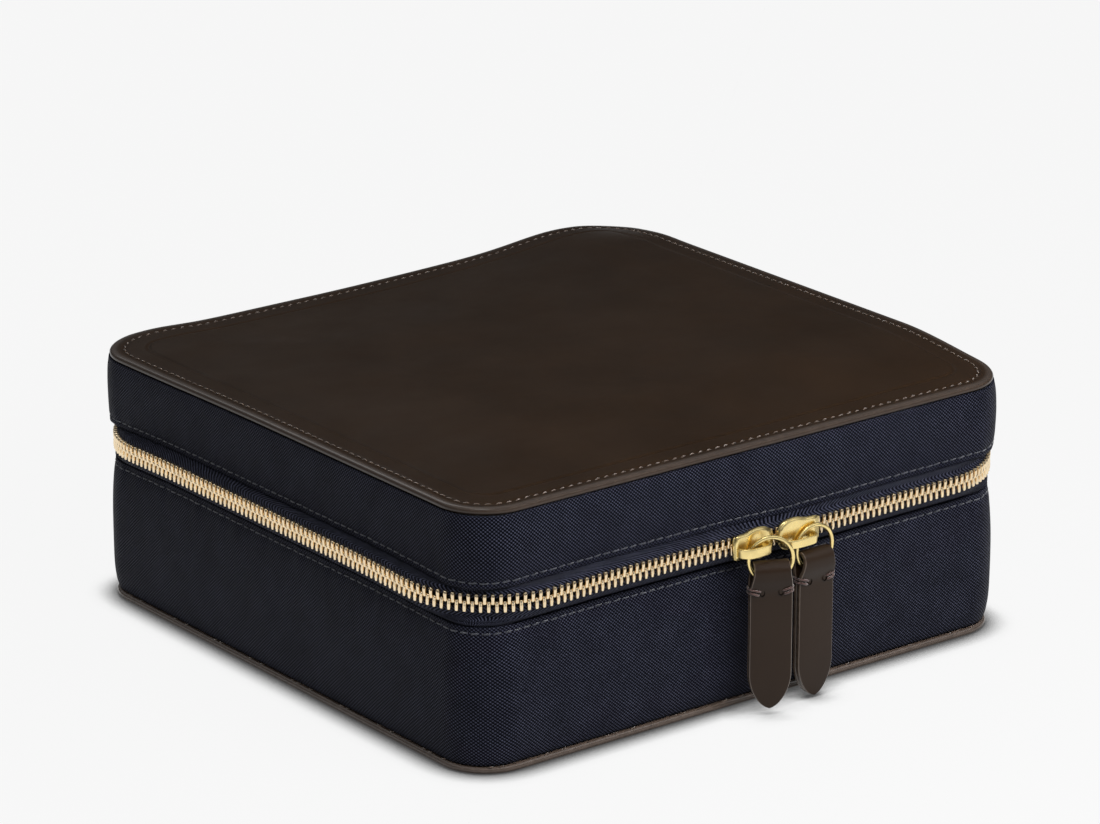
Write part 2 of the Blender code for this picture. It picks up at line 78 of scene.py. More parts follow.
body_low, body_high = box_mm("body_fabric_band")
HALF_X = body_high[0] - WALL_BULGE
HALF_Y = -body_low[1] - WALL_BULGE
LOWER_FOLD = body_high[2]
UPPER_FOLD = box_mm("lid_fabric_band")[0][2]
RIM_Z = box_mm("lid_leather_panel")[0][2]
BASE_TOP = box_mm("base_leather_panel")[1][2]
ZIP_Z = (box_mm("lower_zip_teeth")[1][2] + box_mm("upper_zip_teeth")[0][2]) / 2
ZIP_PROUD = -box_mm("lower_zip_teeth")[0][1] - HALF_Y
TOOTH_DEPTH = 2.6
TOOTH_PITCH = 2.45
TEETH_END_X = 79.0  # where the teeth end on the back
TAPE_END_X = 70.0

# Weave of the walls: the pitch of its yarns round the case and up it
YARN_ROUND = 0.66
YARN_UP = 0.57

# Linear colours
# The nylon's two colours are painted shade for the weave's valleys and a painted highlight for its crowns
NAVY_SHADED_VALLEY = (0.0007, 0.0008, 0.0022)
NAVY_HIGHLIT_CROWN = (0.043, 0.0458, 0.072)
# The tape's two colours are painted shade for the grooves and a painted highlight for the rib crests
TAPE_SHADED_GROOVE = (0.0006, 0.0007, 0.002)
TAPE_HIGHLIT_RIB = (0.036, 0.0385, 0.06)
LEATHER_DARK = (0.0102, 0.0049, 0.0018)
LEATHER_LIGHT = (0.017, 0.0086, 0.0037)
LEATHER_EDGE = (0.068, 0.05, 0.04)
LEATHER_THREAD = (0.1, 0.063, 0.042)
NAVY_THREAD = (0.027, 0.03, 0.043)
PULLER_BROWN = (0.0118, 0.0062, 0.0033)
PULLER_LIGHT = (0.016, 0.009, 0.005)
PULLER_EDGE = (0.075, 0.053, 0.038)
PULLER_THREAD = (0.07, 0.034, 0.028)
TOOTH_BRASS = (0.93, 0.75, 0.5)
SLIDER_BRASS = (0.98, 0.775, 0.34)
SUEDE_DARK = (0.021, 0.023, 0.039)
SUEDE_LIGHT = (0.05, 0.054, 0.086)
BOARD_GREY = (0.24, 0.21, 0.18)


# ---- Materials ----


def set_range(node, low, high, to_low, to_high):
    """Sets what a Map Range node maps, and to what."""
    for key, number in (("From Min", low), ("From Max", high), ("To Min", to_low), ("To Max", to_high)):
        node.inputs[key].default_value = number


def darker(colour, share):
    """A colour at that share of its brightness."""
    return tuple(part * share for part in colour)


class Finish:
    """A procedural material: a Principled shader and short ways to add the nodes that feed it."""

    def __init__(self, name, roughness=0.5, metallic=0.0, **constants):
        self.made = bpy.data.materials.new(name)
        self.made.use_nodes = True
        self.tree = self.made.node_tree
        self.shader = self.tree.nodes["Principled BSDF"]
        self.shader.inputs["Roughness"].default_value = roughness
        self.shader.inputs["Metallic"].default_value = metallic
        for key, value in constants.items():
            self.shader.inputs[key.replace("_", " ")].default_value = value

    def node(self, kind, **settings):
        """Adds a node of that kind, with those settings."""
        made = self.tree.nodes.new(kind)
        for key, value in settings.items():
            setattr(made, key, value)
        return made

    def feed(self, socket, value):
        """Links value to a socket if it is another node's socket, and sets it if it is a constant."""
        if isinstance(value, bpy.types.NodeSocket):
            self.tree.links.new(value, socket)
        elif isinstance(value, tuple) and len(value) == 3 and socket.type == "RGBA":
            socket.default_value = (*value, 1.0)
        else:
            socket.default_value = value

    def math(self, operation, first, second=0.0, third=None):
        """The result of a Math node."""
        made = self.node("ShaderNodeMath", operation=operation)
        self.feed(made.inputs[0], first)
        self.feed(made.inputs[1], second)
        if third is not None:
            self.feed(made.inputs[2], third)
        return made.outputs[0]

    def place(self):
        """The piece's own position in metres, which is the frame's."""
        return self.node("ShaderNodeTexCoord").outputs["Object"]

    def cloth(self):
        """Distance round and up the piece in millimetres, as two sockets."""
        split = self.node("ShaderNodeSeparateXYZ")
        self.feed(split.inputs[0], self.node("ShaderNodeUVMap", uv_map="cloth").outputs["UV"])
        return split.outputs[0], split.outputs[1]

    def noise(self, pitch, detail=3.0, roughness=0.55):
        """Noise whose features are about pitch millimetres across."""
        made = self.node("ShaderNodeTexNoise")
        self.feed(made.inputs["Vector"], self.place())
        made.inputs["Scale"].default_value = 1 / (pitch * MM)
        made.inputs["Detail"].default_value = detail
        made.inputs["Roughness"].default_value = roughness
        return made.outputs["Fac"]

    def attribute(self, name):
        """One of the mesh's own attributes."""
        return self.node("ShaderNodeAttribute", attribute_name=name).outputs["Fac"]

    def spread(self, value, low, high, to_low=0.0, to_high=1.0):
        """value mapped from low..high to to_low..to_high, and held there."""
        made = self.node("ShaderNodeMapRange")
        self.feed(made.inputs["Value"], value)
        set_range(made, low, high, to_low, to_high)
        return made.outputs["Result"]

    def mix(self, share, first, second):
        """A colour that is first at share 0 and second at share 1."""
        made = self.node("ShaderNodeMix", data_type="RGBA")
        self.feed(made.inputs[0], share)
        self.feed(made.inputs[6], first)
        self.feed(made.inputs[7], second)
        return made.outputs[2]

    def colour(self, value):
        """Feeds the base colour."""
        self.feed(self.shader.inputs["Base Color"], value)

    def rough(self, value):
        """Feeds the roughness."""
        self.feed(self.shader.inputs["Roughness"], value)

    def bump(self, *layers):
        """Heights in millimetres, each a (socket, height of one unit) pair, stacked as one bump."""
        normal = None
        for height, distance in layers:
            made = self.node("ShaderNodeBump")
            self.feed(made.inputs["Height"], height)
            made.inputs["Strength"].default_value = 1.0
            made.inputs["Distance"].default_value = distance * MM
            if normal is not None:
                self.feed(made.inputs["Normal"], normal)
            normal = made.outputs["Normal"]
        self.feed(self.shader.inputs["Normal"], normal)


def woven_nylon():
    """Plain-woven nylon: yarns go over and under each other. Each crown is coloured lighter as a painted
    highlight, and the valleys between are coloured darker as painted shade.
    """
    f = Finish("navy_nylon_twill", 0.62, Sheen_Weight=0.015, Sheen_Roughness=0.4, Specular_IOR_Level=0.06)
    u, v = f.cloth()
    turn_u = f.math("MULTIPLY", u, math.pi / YARN_ROUND)
    turn_v = f.math("MULTIPLY", v, math.pi / YARN_UP)
    over = f.math("MULTIPLY", f.math("SINE", turn_u), f.math("SINE", turn_v))
    slant = f.math("SINE", f.math("ADD", turn_u, turn_v))
    crown = f.math("MULTIPLY_ADD", slant, -0.35, over)
    wear = f.noise(9.0, 4.0)
    lint = f.noise(0.5, 2.0)
    share = f.spread(crown, -0.1, 1.2)
    share = f.math("MULTIPLY", share, f.spread(wear, 0.3, 0.7, 0.72, 1.18))
    share = f.math("MULTIPLY", share, f.spread(lint, 0.3, 0.7, 0.7, 1.25))
    # Painted highlight on the crowns and painted shade in the valleys; the wear and lint noise add random
    # tone
    f.colour(f.mix(share, NAVY_SHADED_VALLEY, NAVY_HIGHLIT_CROWN))
    f.rough(f.spread(crown, -1.0, 1.0, 0.75, 0.52))
    f.bump((crown, 0.055), (f.noise(14.0, 3.0), 0.30))
    return f.made


def zip_tape():
    """Herringbone tape: ribs that lean one way and then the other in bands along it. Their crests are
    coloured lighter as a painted highlight, and their grooves darker as painted shade.
    """
    f = Finish("navy_zip_tape", 0.7, Sheen_Weight=0.015, Sheen_Roughness=0.4, Specular_IOR_Level=0.06)
    u, v = f.cloth()
    lean = f.math("PINGPONG", v, 1.7)
    rib = f.math("SINE", f.math("MULTIPLY", f.math("MULTIPLY_ADD", lean, 1.4, u), 2 * math.pi / 1.5))
    # Painted highlight on the rib crests and painted shade in the grooves; the noise adds random tone
    share = f.math("MULTIPLY", f.spread(rib, -0.5, 1.0), f.spread(f.noise(3.0), 0.3, 0.7, 0.6, 1.15))
    f.colour(f.mix(share, TAPE_SHADED_GROOVE, TAPE_HIGHLIT_RIB))
    f.bump((rib, 0.09))
    return f.made


def leather(name, dark, light, edge, roughness=0.44, gloss=0.05):
    """Smooth full-grain leather. The attribute edge says where it is cut or burnished."""
    f = Finish(name, roughness, Specular_IOR_Level=gloss, Coat_Roughness=0.2)
    worn = f.attribute("edge")
    cloud = f.noise(38.0, 5.0, 0.6)
    fibre = f.noise(1.1, 4.0, 0.65)
    share = f.math("MULTIPLY_ADD", f.spread(fibre, 0.3, 0.7), 0.25, f.spread(cloud, 0.3, 0.7, 0.0, 0.75))
    body = f.mix(share, dark, light)
    streak = f.spread(f.noise(2.4, 3.0), 0.35, 0.75, 0.65, 1.0)
    f.colour(f.mix(f.math("MULTIPLY", worn, streak), body, edge))
    cells = f.node("ShaderNodeTexVoronoi", feature="DISTANCE_TO_EDGE")
    f.feed(cells.inputs["Vector"], f.place())
    cells.inputs["Scale"].default_value = 1 / (0.55 * MM)
    grain = f.spread(cells.outputs["Distance"], 0.0, 0.12)
    cloudy = f.spread(f.noise(24.0, 4.0), 0.3, 0.7, roughness - 0.05, roughness + 0.08)
    f.rough(f.math("MULTIPLY_ADD", worn, -0.2, cloudy))
    f.feed(f.shader.inputs["Coat Weight"], f.spread(worn, 0.0, 0.5))  # the burnished edges' wax
    f.bump((grain, 0.008), (fibre, 0.016), (f.noise(30.0, 3.0), 0.10))
    return f.made


def polished(name, colour, roughness):
    """Polished brass with a faint brushed haze."""
    f = Finish(name, roughness, 1.0)
    haze = f.noise(3.0, 3.0, 0.5)
    f.colour(f.mix(f.spread(haze, 0.35, 0.7, 0.0, 0.3), colour, darker(colour, 0.78)))
    f.rough(f.spread(haze, 0.3, 0.7, roughness - 0.04, roughness + 0.08))
    f.bump((f.noise(4.0, 1.0), 0.006))
    return f.made


def thread(name, colour):
    """Twisted sewing thread: ply lines run round it at a slant, and their grooves are coloured darker as
    painted shade.
    """
    f = Finish(name, 0.6, Sheen_Weight=0.3, Specular_IOR_Level=0.35)
    u, v = f.cloth()
    ply = f.math("SINE", f.math("MULTIPLY", f.math("ADD", u, v), 2 * math.pi / 0.34))
    share = f.spread(ply, -1.0, 1.0)
    # Painted shade in the grooves between the plies
    f.colour(f.mix(share, darker(colour, 0.55), colour))
    f.bump((ply, 0.03))
    return f.made


def suede():
    """Microsuede: a short nap with soft brushed patches."""
    f = Finish("navy_microsuede", 0.92, Sheen_Weight=0.18, Sheen_Roughness=0.5, Specular_IOR_Level=0.08)
    nap = f.noise(0.35, 3.0, 0.7)
    brushed = f.noise(16.0, 4.0)
    share = f.math("MULTIPLY_ADD", f.spread(nap, 0.3, 0.7), 0.6, f.spread(brushed, 0.3, 0.7, 0.0, 0.4))
    f.colour(f.mix(share, SUEDE_DARK, SUEDE_LIGHT))
    f.bump((nap, 0.05), (brushed, 0.12))
    return f.made


def fibreboard():
    """Grey-brown stiffening board, flecked with fibres."""
    f = Finish("stiffening_board", 0.9)
    fleck = f.noise(1.2, 5.0, 0.7)
    f.colour(f.mix(f.spread(fleck, 0.35, 0.65), darker(BOARD_GREY, 0.7), BOARD_GREY))
    f.bump((fleck, 0.05))
    return f.made


def hole_painted_shade():
    """Painted shade for the inside of a needle hole: a dark colour where the hole lies in shade."""
    f = Finish("needle_hole_shade", 0.9, Specular_IOR_Level=0.1)
    f.colour(f.mix(f.noise(0.4), (0.002, 0.0015, 0.001), (0.006, 0.004, 0.003)))
    return f.made


FINISH = {
    "nylon": woven_nylon(),
    "tape": zip_tape(),
    "leather": leather("dark_brown_leather", LEATHER_DARK, LEATHER_LIGHT, LEATHER_EDGE),
    "puller": leather("puller_leather", PULLER_BROWN, PULLER_LIGHT, PULLER_EDGE, 0.36, 0.20),
    "teeth": polished("pale_brass_teeth", TOOTH_BRASS, 0.20),
    "gold": polished("yellow_brass_slider", SLIDER_BRASS, 0.25),
    "leather_thread": thread("brown_thread", LEATHER_THREAD),
    "puller_thread": thread("puller_thread", PULLER_THREAD),
    "navy_thread": thread("navy_thread", NAVY_THREAD),
    "suede": suede(),
    "board": fibreboard(),
    # The holes' finish is painted shade
    "hole": hole_painted_shade(),
}


# ---- Shape helpers, in millimetres ----


def smooth(value, low, high):
    """0 at low, 1 at high and beyond, and smooth between them."""
    share = np.clip((np.asarray(value, float) - low) / (high - low), 0.0, 1.0)
    return share * share * (3 - 2 * share)


def hump(value, centre, width):
    """A bell curve: 1 at its centre, and 1/e at width from it."""
    return np.exp(-(((value - centre) / width) ** 2))


def ripple(length, *waves):
    """A sum of sines of a length, each wave a (wavelength, height, phase)."""
    return sum(high * np.sin(2 * math.pi * length / pitch + phase) for pitch, high, phase in waves)


def curve(keys, count):
    """count points, evenly spaced, on a smooth curve through the keys."""
    keys = np.array(keys, float)
    padded = np.vstack((2 * keys[0] - keys[1], keys, 2 * keys[-1] - keys[-2]))
    fine = []
    for i in range(len(keys) - 1):
        a, b, c, d = padded[i : i + 4]
        t = np.linspace(0, 1, 24, endpoint=i == len(keys) - 2)[:, None]
        cubic = 1.5 * (b - c) + (d - a) / 2
        fine.append(b + t * (c - a) / 2 + t**2 * (a - 2.5 * b + 2 * c - d / 2) + t**3 * cubic)
    return spaced(np.vstack(fine), count)


def unit(vectors):
    """The vectors, each made one long."""
    return vectors / np.linalg.norm(vectors, axis=-1, keepdims=True)


def lengths(points, closed=False):
    """How far along a line of points each one lies, and the end if it is closed."""
    if closed:
        points = np.vstack((points, points[:1]))
    steps = np.linalg.norm(np.diff(points, axis=0), axis=1)
    return np.concatenate(([0.0], np.cumsum(steps)))


def sampled(values, run, where):
    """Rows of values that are known at the lengths run, at other lengths."""
    return np.stack([np.interp(where, run, column) for column in values.T], axis=1)


def spaced(points, count):
    """count points evenly spaced along a line of points."""
    run = lengths(points)
    return sampled(points, run, np.linspace(0, run[-1], count))


def full_turn(count):
    """count angles evenly spaced round a circle, in radians."""
    return 2 * math.pi * np.arange(count) / count


def arc(centre, radius, start, stop, steps):
    """Points of an arc in a plane, between two angles in degrees."""
    turn = np.radians(np.linspace(start, stop, steps))
    return np.stack((centre[0] + radius * np.cos(turn), centre[1] + radius * np.sin(turn)), axis=1)


def round_section(low, high, radius, steps):
    """A closed section with four round corners, whose centres are the corners of the box from low to high."""
    corners = ((high[0], high[1], 0), (low[0], high[1], 90), (low[0], low[1], 180), (high[0], low[1], 270))
    return np.vstack([arc((x, y), radius, start, start + 90, steps) for x, y, start in corners])


def plane_normals(line):
    """Unit normals of a line of points in a plane, on its right."""
    ahead = unit(np.gradient(line, axis=0))
    return np.stack((ahead[:, 1], -ahead[:, 0]), axis=1)


def sheet_section(face, thickness):
    """A thin sheet's closed section: a line, and its copy that far to the right, which runs back."""
    return np.vstack((face, (face + plane_normals(face) * thickness)[::-1]))


class Path:
    """Stations round the case: from the middle of the back over the left, the front and the right.

    With a gap, the path is open, and its ends lie at that distance from the middle of the back.
    """

    def __init__(self, step=2.2, gap=0.0, corner_steps=18, half=(HALF_X, HALF_Y)):
        self.half = half
        self.closed = gap == 0.0
        back = max(2, round((half[0] - WALL_CORNER - gap) / step))
        side = round(2 * (half[1] - WALL_CORNER) / step)
        front = round(2 * (half[0] - WALL_CORNER) / step)
        stations = [(-t, 1.0, 90.0, -(1 - t) * gap) for t in np.arange(back) / back]
        for x, y, turn, run in ((-1, 1, 90, side), (-1, -1, 180, front), (1, -1, 270, side), (1, 1, 360, 0)):
            stations += [(x, y, turn + 90 * t, 0.0) for t in np.arange(corner_steps) / corner_steps]
            ahead = (x, -y) if turn in (90, 270) else (-x, y)
            for t in np.arange(run) / max(run, 1):
                stations.append((x + t * (ahead[0] - x), y + t * (ahead[1] - y), turn + 90, 0.0))
        last = back + (0 if self.closed else 1)
        stations += [(1 - t, 1.0, 90.0, t * gap) for t in np.arange(last) / back]
        self.x, self.y, turns, self.extra = np.array(stations, float).T
        self.out = np.stack((np.cos(np.radians(turns)), np.sin(np.radians(turns))), axis=1)
        self.outward = np.column_stack((self.out, np.zeros(len(self.out))))

    def ring(self, offset, z, zipped=0.0, corner=None):
        """Points at that offset from the nominal wall. zipped, 0 to 1, turns its corners to the zip's."""
        radius = corner if corner is not None else WALL_CORNER + (ZIP_CORNER - WALL_CORNER) * zipped + offset
        drawn_in = ZIP_BACK_INSET * zipped
        x = self.x * (self.half[0] + offset - radius) + self.extra + radius * self.out[:, 0]
        y = self.y * (self.half[1] + offset - drawn_in / 2 - radius) - drawn_in / 2 + radius * self.out[:, 1]
        return np.stack((x, y, np.full(len(x), z)), axis=1)

    def loft(self, rows):
        """A grid of points, one ring for each (offset, z, zipped) row."""
        return np.array([self.ring(*row) for row in rows])


def zip_wave(x, y):
    """How much higher than nominal the zip lies there: the soft walls let it wander."""
    places = (-110.0, -60.0, -13.0, 14.0, 50.0, 82.0, 99.0, 110.0)
    front = np.interp(x, places, (-0.5, 0.35, 0.2, -0.7, -0.15, 0.05, 0.2, 1.1))
    side = 1.0 - smooth(y, 50.0, 100.0)
    return front + (side - front) * smooth(y, -108.0, -45.0)


def lid_lift(x, y):
    """How much higher than nominal the lid's top edge lies: the leather pulls it up at the right and rear."""
    right = 4.3 * smooth(x, 0.0, 100.0) * (1 - smooth(-y, 52.0, 108.0)) * (1 - smooth(y, 70.0, 112.0))
    rear = 3.0 * hump(x, 84, 24) * smooth(y, 60.0, 108.0)
    corner = 1.0 * hump(x, -86, 14) * smooth(y, 60.0, 110.0)
    sunk = 1.0 * smooth(y, 0.0, 100.0) * (1 - smooth(x, -20.0, 60.0))
    return right + rear + corner - sunk


def settle(points):
    """Moves points with the wandering zip line and the uneven lid."""
    x, y, z = np.moveaxis(points, -1, 0)
    near_zip = 1 - smooth(np.abs(z - ZIP_Z), 5.0, 24.0)
    lifted = lid_lift(x, y) * smooth(z, UPPER_FOLD + 2, RIM_Z - 1)
    return points + np.stack((0 * x, 0 * y, zip_wave(x, y) * near_zip + lifted), axis=-1)


def grid_normals(grid, closed):
    """Outward normals of a grid of points whose rows run up and whose columns run round."""
    if closed:
        round_it = np.roll(grid, -1, axis=1) - np.roll(grid, 1, axis=1)
    else:
        round_it = np.gradient(grid, axis=1)
    up = np.gradient(grid, axis=0)
    normals = np.cross(round_it, up)
    return normals / np.maximum(np.linalg.norm(normals, axis=-1, keepdims=True), 1e-9)


# ---- Mesh helpers ----


def mesh_piece(name, points, faces, finish, uvs=None, edge=None):
    """A mesh object from points in millimetres, faces, UVs for each face's corners and the edge attribute."""
    made = bpy.data.meshes.new(name)
    made.from_pydata([tuple(point) for point in np.asarray(points, float) * MM], [], faces)
    if uvs is not None:
        made.uv_layers.new(name="cloth").data.foreach_set("uv", np.asarray(uvs, np.float32).ravel())
    if edge is not None:
        made.attributes.new("edge", "FLOAT", "POINT").data.foreach_set("value", np.asarray(edge, np.float32))
    made.validate()
    made.polygons.foreach_set("use_smooth", [True] * len(made.polygons))
    made.materials.append(FINISH[finish])
    piece = bpy.data.objects.new(name, made)
    bpy.context.collection.objects.link(piece)
    return piece


def grid_cells(rows, columns, closed, wrap):
    """The column and the row of each cell of a grid."""
    return np.meshgrid(np.arange(columns if closed else columns - 1), np.arange(rows if wrap else rows - 1))


def grid_faces(rows, columns, closed=True, wrap=False):
    """Faces of a grid, whose last column may join its first, and whose last row may too."""
    i, j = grid_cells(rows, columns, closed, wrap)
    ahead, above = (i + 1) % columns, (j + 1) % rows
    corners = (j * columns + i, j * columns + ahead, above * columns + ahead, above * columns + i)
    return [tuple(face) for face in np.stack([corner.ravel() for corner in corners], axis=1)]


def capped(grid):
    """A (points, faces, uvs) part from a grid of closed rings, with a face over each end."""
    rows, columns = grid.shape[:2]
    faces = grid_faces(rows, columns)
    faces += [tuple(range(columns))[::-1], tuple(range((rows - 1) * columns, rows * columns))]
    return grid.reshape(-1, 3), faces, np.zeros((sum(map(len, faces)), 2))


def grid_piece(name, grid, finish, closed=True):
    """A closed section carried round a path, with UVs in millimetres. An open path's ends get a face."""
    rows, columns = grid.shape[:2]
    u = lengths(grid[rows // 2], closed)
    v = lengths(grid[:, 0] if closed else np.mean(grid, axis=1), True)
    i, j = grid_cells(rows, columns, closed, True)
    corners = ((0, 0), (1, 0), (1, 1), (0, 1))
    uvs = np.stack([np.stack((u[i + a], v[j + b]), axis=-1) for a, b in corners], axis=2).reshape(-1, 2)
    faces = grid_faces(rows, columns, closed, True)
    if not closed:
        for column, turn in ((0, 1), (columns - 1, -1)):
            faces.append(tuple((np.arange(rows) * columns + column)[::turn]))
            uvs = np.vstack((uvs, np.zeros((rows, 2))))
    return mesh_piece(name, grid.reshape(-1, 3), faces, finish, uvs)


def joined(name, pieces, finish):
    """One mesh from many (points, faces, uvs) parts."""
    points, faces, uvs, start = [], [], [], 0
    for part_points, part_faces, part_uvs in pieces:
        points.append(part_points)
        faces += [tuple(index + start for index in face) for face in part_faces]
        uvs.append(part_uvs)
        start += len(part_points)
    return mesh_piece(name, np.vstack(points), faces, finish, np.vstack(uvs))


def tube(line, radius, sides=8, closed=False, flatten=1.0, up=(0.0, 0.0, 1.0)):
    """A (points, faces, uvs) part: a round thread or wire along a line, whose radius may vary."""
    line = np.asarray(line, float)
    count = len(line)
    radius = np.broadcast_to(radius, count)
    ahead = unit((np.roll(line, -1, 0) - np.roll(line, 1, 0)) if closed else np.gradient(line, axis=0))
    side = np.cross(ahead, np.asarray(up, float))
    side /= np.maximum(np.linalg.norm(side, axis=1, keepdims=True), 1e-9)
    over = np.cross(side, ahead)
    turn = full_turn(sides)
    cosine, sine = np.cos(turn)[None, :, None], (flatten * np.sin(turn))[None, :, None]
    rolled = side[:, None] * cosine + over[:, None] * sine
    grid = line[:, None] + rolled * radius[:, None, None]
    faces = grid_faces(count, sides, True, closed)
    run = lengths(line, closed)
    uvs = []
    for j in range(count if closed else count - 1):
        for i in range(sides):
            low, high = i * 0.4, (i + 1) * 0.4
            uvs += [(low, run[j]), (high, run[j]), (high, run[j + 1]), (low, run[j + 1])]
    if not closed:
        faces += [tuple(range(sides))[::-1], tuple(range((count - 1) * sides, count * sides))]
        uvs += [(0.0, 0.0)] * (2 * sides)
    return grid.reshape(-1, 3), faces, np.array(uvs)


def along(line, normals, pitch, closed):
    """Evenly spaced (point, direction, normal) places along a line, about pitch apart."""
    run = lengths(line, closed)
    count = max(1, round(run[-1] / pitch))
    where = (np.arange(count) + 0.5) * run[-1] / count
    if closed:
        line, normals = np.vstack((line, line[:1])), np.vstack((normals, normals[:1]))
    points = sampled(line, run, where)
    ahead = sampled(line, run, where + 0.4) - points
    behind = points - sampled(line, run, where - 0.4)
    return list(zip(points, unit(ahead + behind), unit(sampled(normals, run, where))))


def stitches(name, places, finish, length, thickness, slant, proud):
    """Sewn stitches at those places: each thread comes up, lies slightly slanted, and goes down again."""
    parts = []
    shape = ((-1.0, -0.35), (-0.86, 0.05), (-0.4, proud), (0.4, proud), (0.86, 0.05), (1.0, -0.35))
    for number, (point, ahead, facing) in enumerate(places):
        across = np.cross(facing, ahead)
        lean = slant * (1 + 0.25 * math.sin(number * 2.4))
        run = ahead * math.cos(lean) + across * math.sin(lean)
        reach = length / 2 * (1 + 0.07 * math.sin(number * 1.7))
        line = [point + run * reach * share + facing * lift for share, lift in shape]
        parts.append(tube(line, thickness * np.array((0.8, 1, 1, 1, 1, 0.8)), 6, up=facing, flatten=0.8))
    return joined(name, parts, finish)


def soft_block(name, low, high, finish, radius, steps, waist):
    """A block with rounded edges, whose long faces pull in by waist between their ends."""
    size, middle = high - low, (low + high) / 2
    made = bmesh.new()
    bmesh.ops.create_cube(made, size=1.0)
    for vert in made.verts:
        vert.co = Vector(tuple(middle + np.array(vert.co) * size))
    bmesh.ops.bevel(made, geom=made.edges[:], offset=radius, segments=steps, profile=0.5, affect="EDGES")
    longest, thinnest = int(np.argmax(size)), int(np.argmin(size))
    long_edges = []
    for edge in made.edges:
        if abs((edge.verts[0].co - edge.verts[1].co)[longest]) > 0.5 * size[longest]:
            long_edges.append(edge)
    cuts = max(1, int(size[longest] / 4))
    bmesh.ops.subdivide_edges(made, edges=long_edges, cuts=cuts, use_grid_fill=True)
    for vert in made.verts:
        share = 1 - ((vert.co[longest] - middle[longest]) / (size[longest] / 2)) ** 2
        vert.co[thinnest] -= waist * share * math.copysign(1.0, vert.co[thinnest] - middle[thinnest])
    made.verts.index_update()
    points = np.array([vert.co for vert in made.verts])
    order = np.lexsort(np.round(points, 3).T)  # the bevel's own order differs from run to run
    rank = np.argsort(order).tolist()
    faces = []
    for face in made.faces:
        corners = [rank[vert.index] for vert in face.verts]
        start = corners.index(min(corners))
        faces.append(tuple(corners[start:] + corners[:start]))
    made.free()
    return mesh_piece(name, points[order], sorted(faces), finish, edge=np.zeros(len(points)))


def finish_piece(piece, body, slot, *nodes):
    """Makes a piece ride on its body and hides the CAD nodes it stands for. slot is not used."""
    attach(piece, body)
    if nodes:
        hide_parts(*nodes)


# Each seam's pitch, and its stitches' length, thickness, slant and height
WALL_SEAM = (3.5, 2.6, 0.25, 0.06, 0.16)
HINGE_SEAM = (3.5, 2.5, 0.24, 0.06, 0.1)
LINING_SEAM = (3.5, 2.5, 0.24, 0.06, 0.14)
LID_SEAM = (3.4, 1.9, 0.25, 0.25, 0.22)
BASE_SEAM = (3.4, 2.5, 0.30, 0.22, 0.1)
BASE_GLIMPSES = (3.4, 1.5, 0.2, 0.12, 0.12)
TAB_SEAM = (3.0, 2.1, 0.28, 0.15, 0.2)


def sew(name, body, slot, seam, line, normals, closed=True, shown=None):
    """Sews a seam along a line. shown, where it is given, says which stitches are seen."""
    pitch, *shape = seam
    places = along(line, normals, pitch, closed)
    if shown is not None:
        places = [place for number, place in enumerate(places) if shown(number)]
    colour = "leather_thread" if slot == "brown_leather" else "navy_thread"
    finish_piece(stitches(name, places, colour, *shape), body, slot)


def dome_piece(name, grid, finish, edge=None):
    """A closed piece from rings that run from its underside's middle, round its rim, to its top's middle."""
    rows, columns = grid.shape[:2]
    points = np.vstack((grid.reshape(-1, 3), grid[0].mean(axis=0), grid[-1].mean(axis=0)))
    faces = grid_faces(rows, columns)
    low, high, top = rows * columns, rows * columns + 1, (rows - 1) * columns
    for i in range(columns):
        ahead = (i + 1) % columns
        faces.append((low, ahead, i))
        faces.append((high, top + i, top + ahead))
    if edge is not None:
        edge = np.append(np.repeat(edge, columns), (0.0, 0.0))
    return mesh_piece(name, points, faces, finish, edge=edge)


# ---- Fabric walls ----

FABRIC = 1.2
TOPSTITCH_IN = 2.1  # from the folded edge
ROUND = Path(step=1.7, corner_steps=22)


def wall_rows(outer, fold_first):
    """A closed section of the wall fabric: its face, its folded edge and its back."""
    back = [(offset - FABRIC, z) for offset, z in outer[::-1]]
    if fold_first:
        folded = arc((outer[0][0] - FABRIC / 2, outer[0][1] + FABRIC / 2), FABRIC / 2, 180, 360, 7)
        return np.vstack((folded, outer[2:], back[:-2]))
    folded = arc((outer[-1][0] - FABRIC / 2, outer[-1][1] - FABRIC / 2), FABRIC / 2, 0, 180, 7)
    return np.vstack((outer[:-2], folded, back[2:]))


def fabric_wall(name, body, node, keys, fold_first):
    """A wall of twill, slightly uneven, and drawn in along the stitches beside its fold."""
    rows = wall_rows(curve(keys, 46), fold_first)
    grid = ROUND.loft(rows)
    run = lengths(grid[0], True)[:-1][None, :]
    offset, z = rows[:, 0][:, None], rows[:, 1][:, None]
    fold_z = keys[0 if fold_first else -1][1]
    near_fold = 1 - smooth(np.abs(z - fold_z), 1.0, 11.0)
    puckers = ripple(run, (7.3, 0.5, 0.3), (4.9, 0.35, 1.9), (11.7, 0.5, 2.7)) * near_fold * 0.16
    slack = ripple(run, (63.0, 0.5, 0.7), (41.0, 0.35, 2.2), (97.0, 0.5, 4.0)) * 0.22
    slack = slack * np.sin(math.pi * np.clip((z - z.min()) / np.ptp(z), 0, 1))
    seam_z = fold_z + TOPSTITCH_IN * (1 if fold_first else -1)
    on_face = offset > np.interp(z, *zip(*sorted((k[1], k[0]) for k in keys))) - FABRIC / 2
    drawn = -0.32 * hump(z, seam_z, 0.8) * on_face
    grid = settle(grid + ROUND.outward[None] * (puckers + slack + drawn)[..., None])
    piece = grid_piece(name, grid, "nylon")
    finish_piece(piece, body, "navy_twill", node)
    row = int(np.argmin(np.abs(rows[:, 1] - seam_z) + 9 * ~on_face[:, 0]))
    sew(f"{name}_topstitch", body, "navy_twill", WALL_SEAM, grid[row], grid_normals(grid, True)[row])


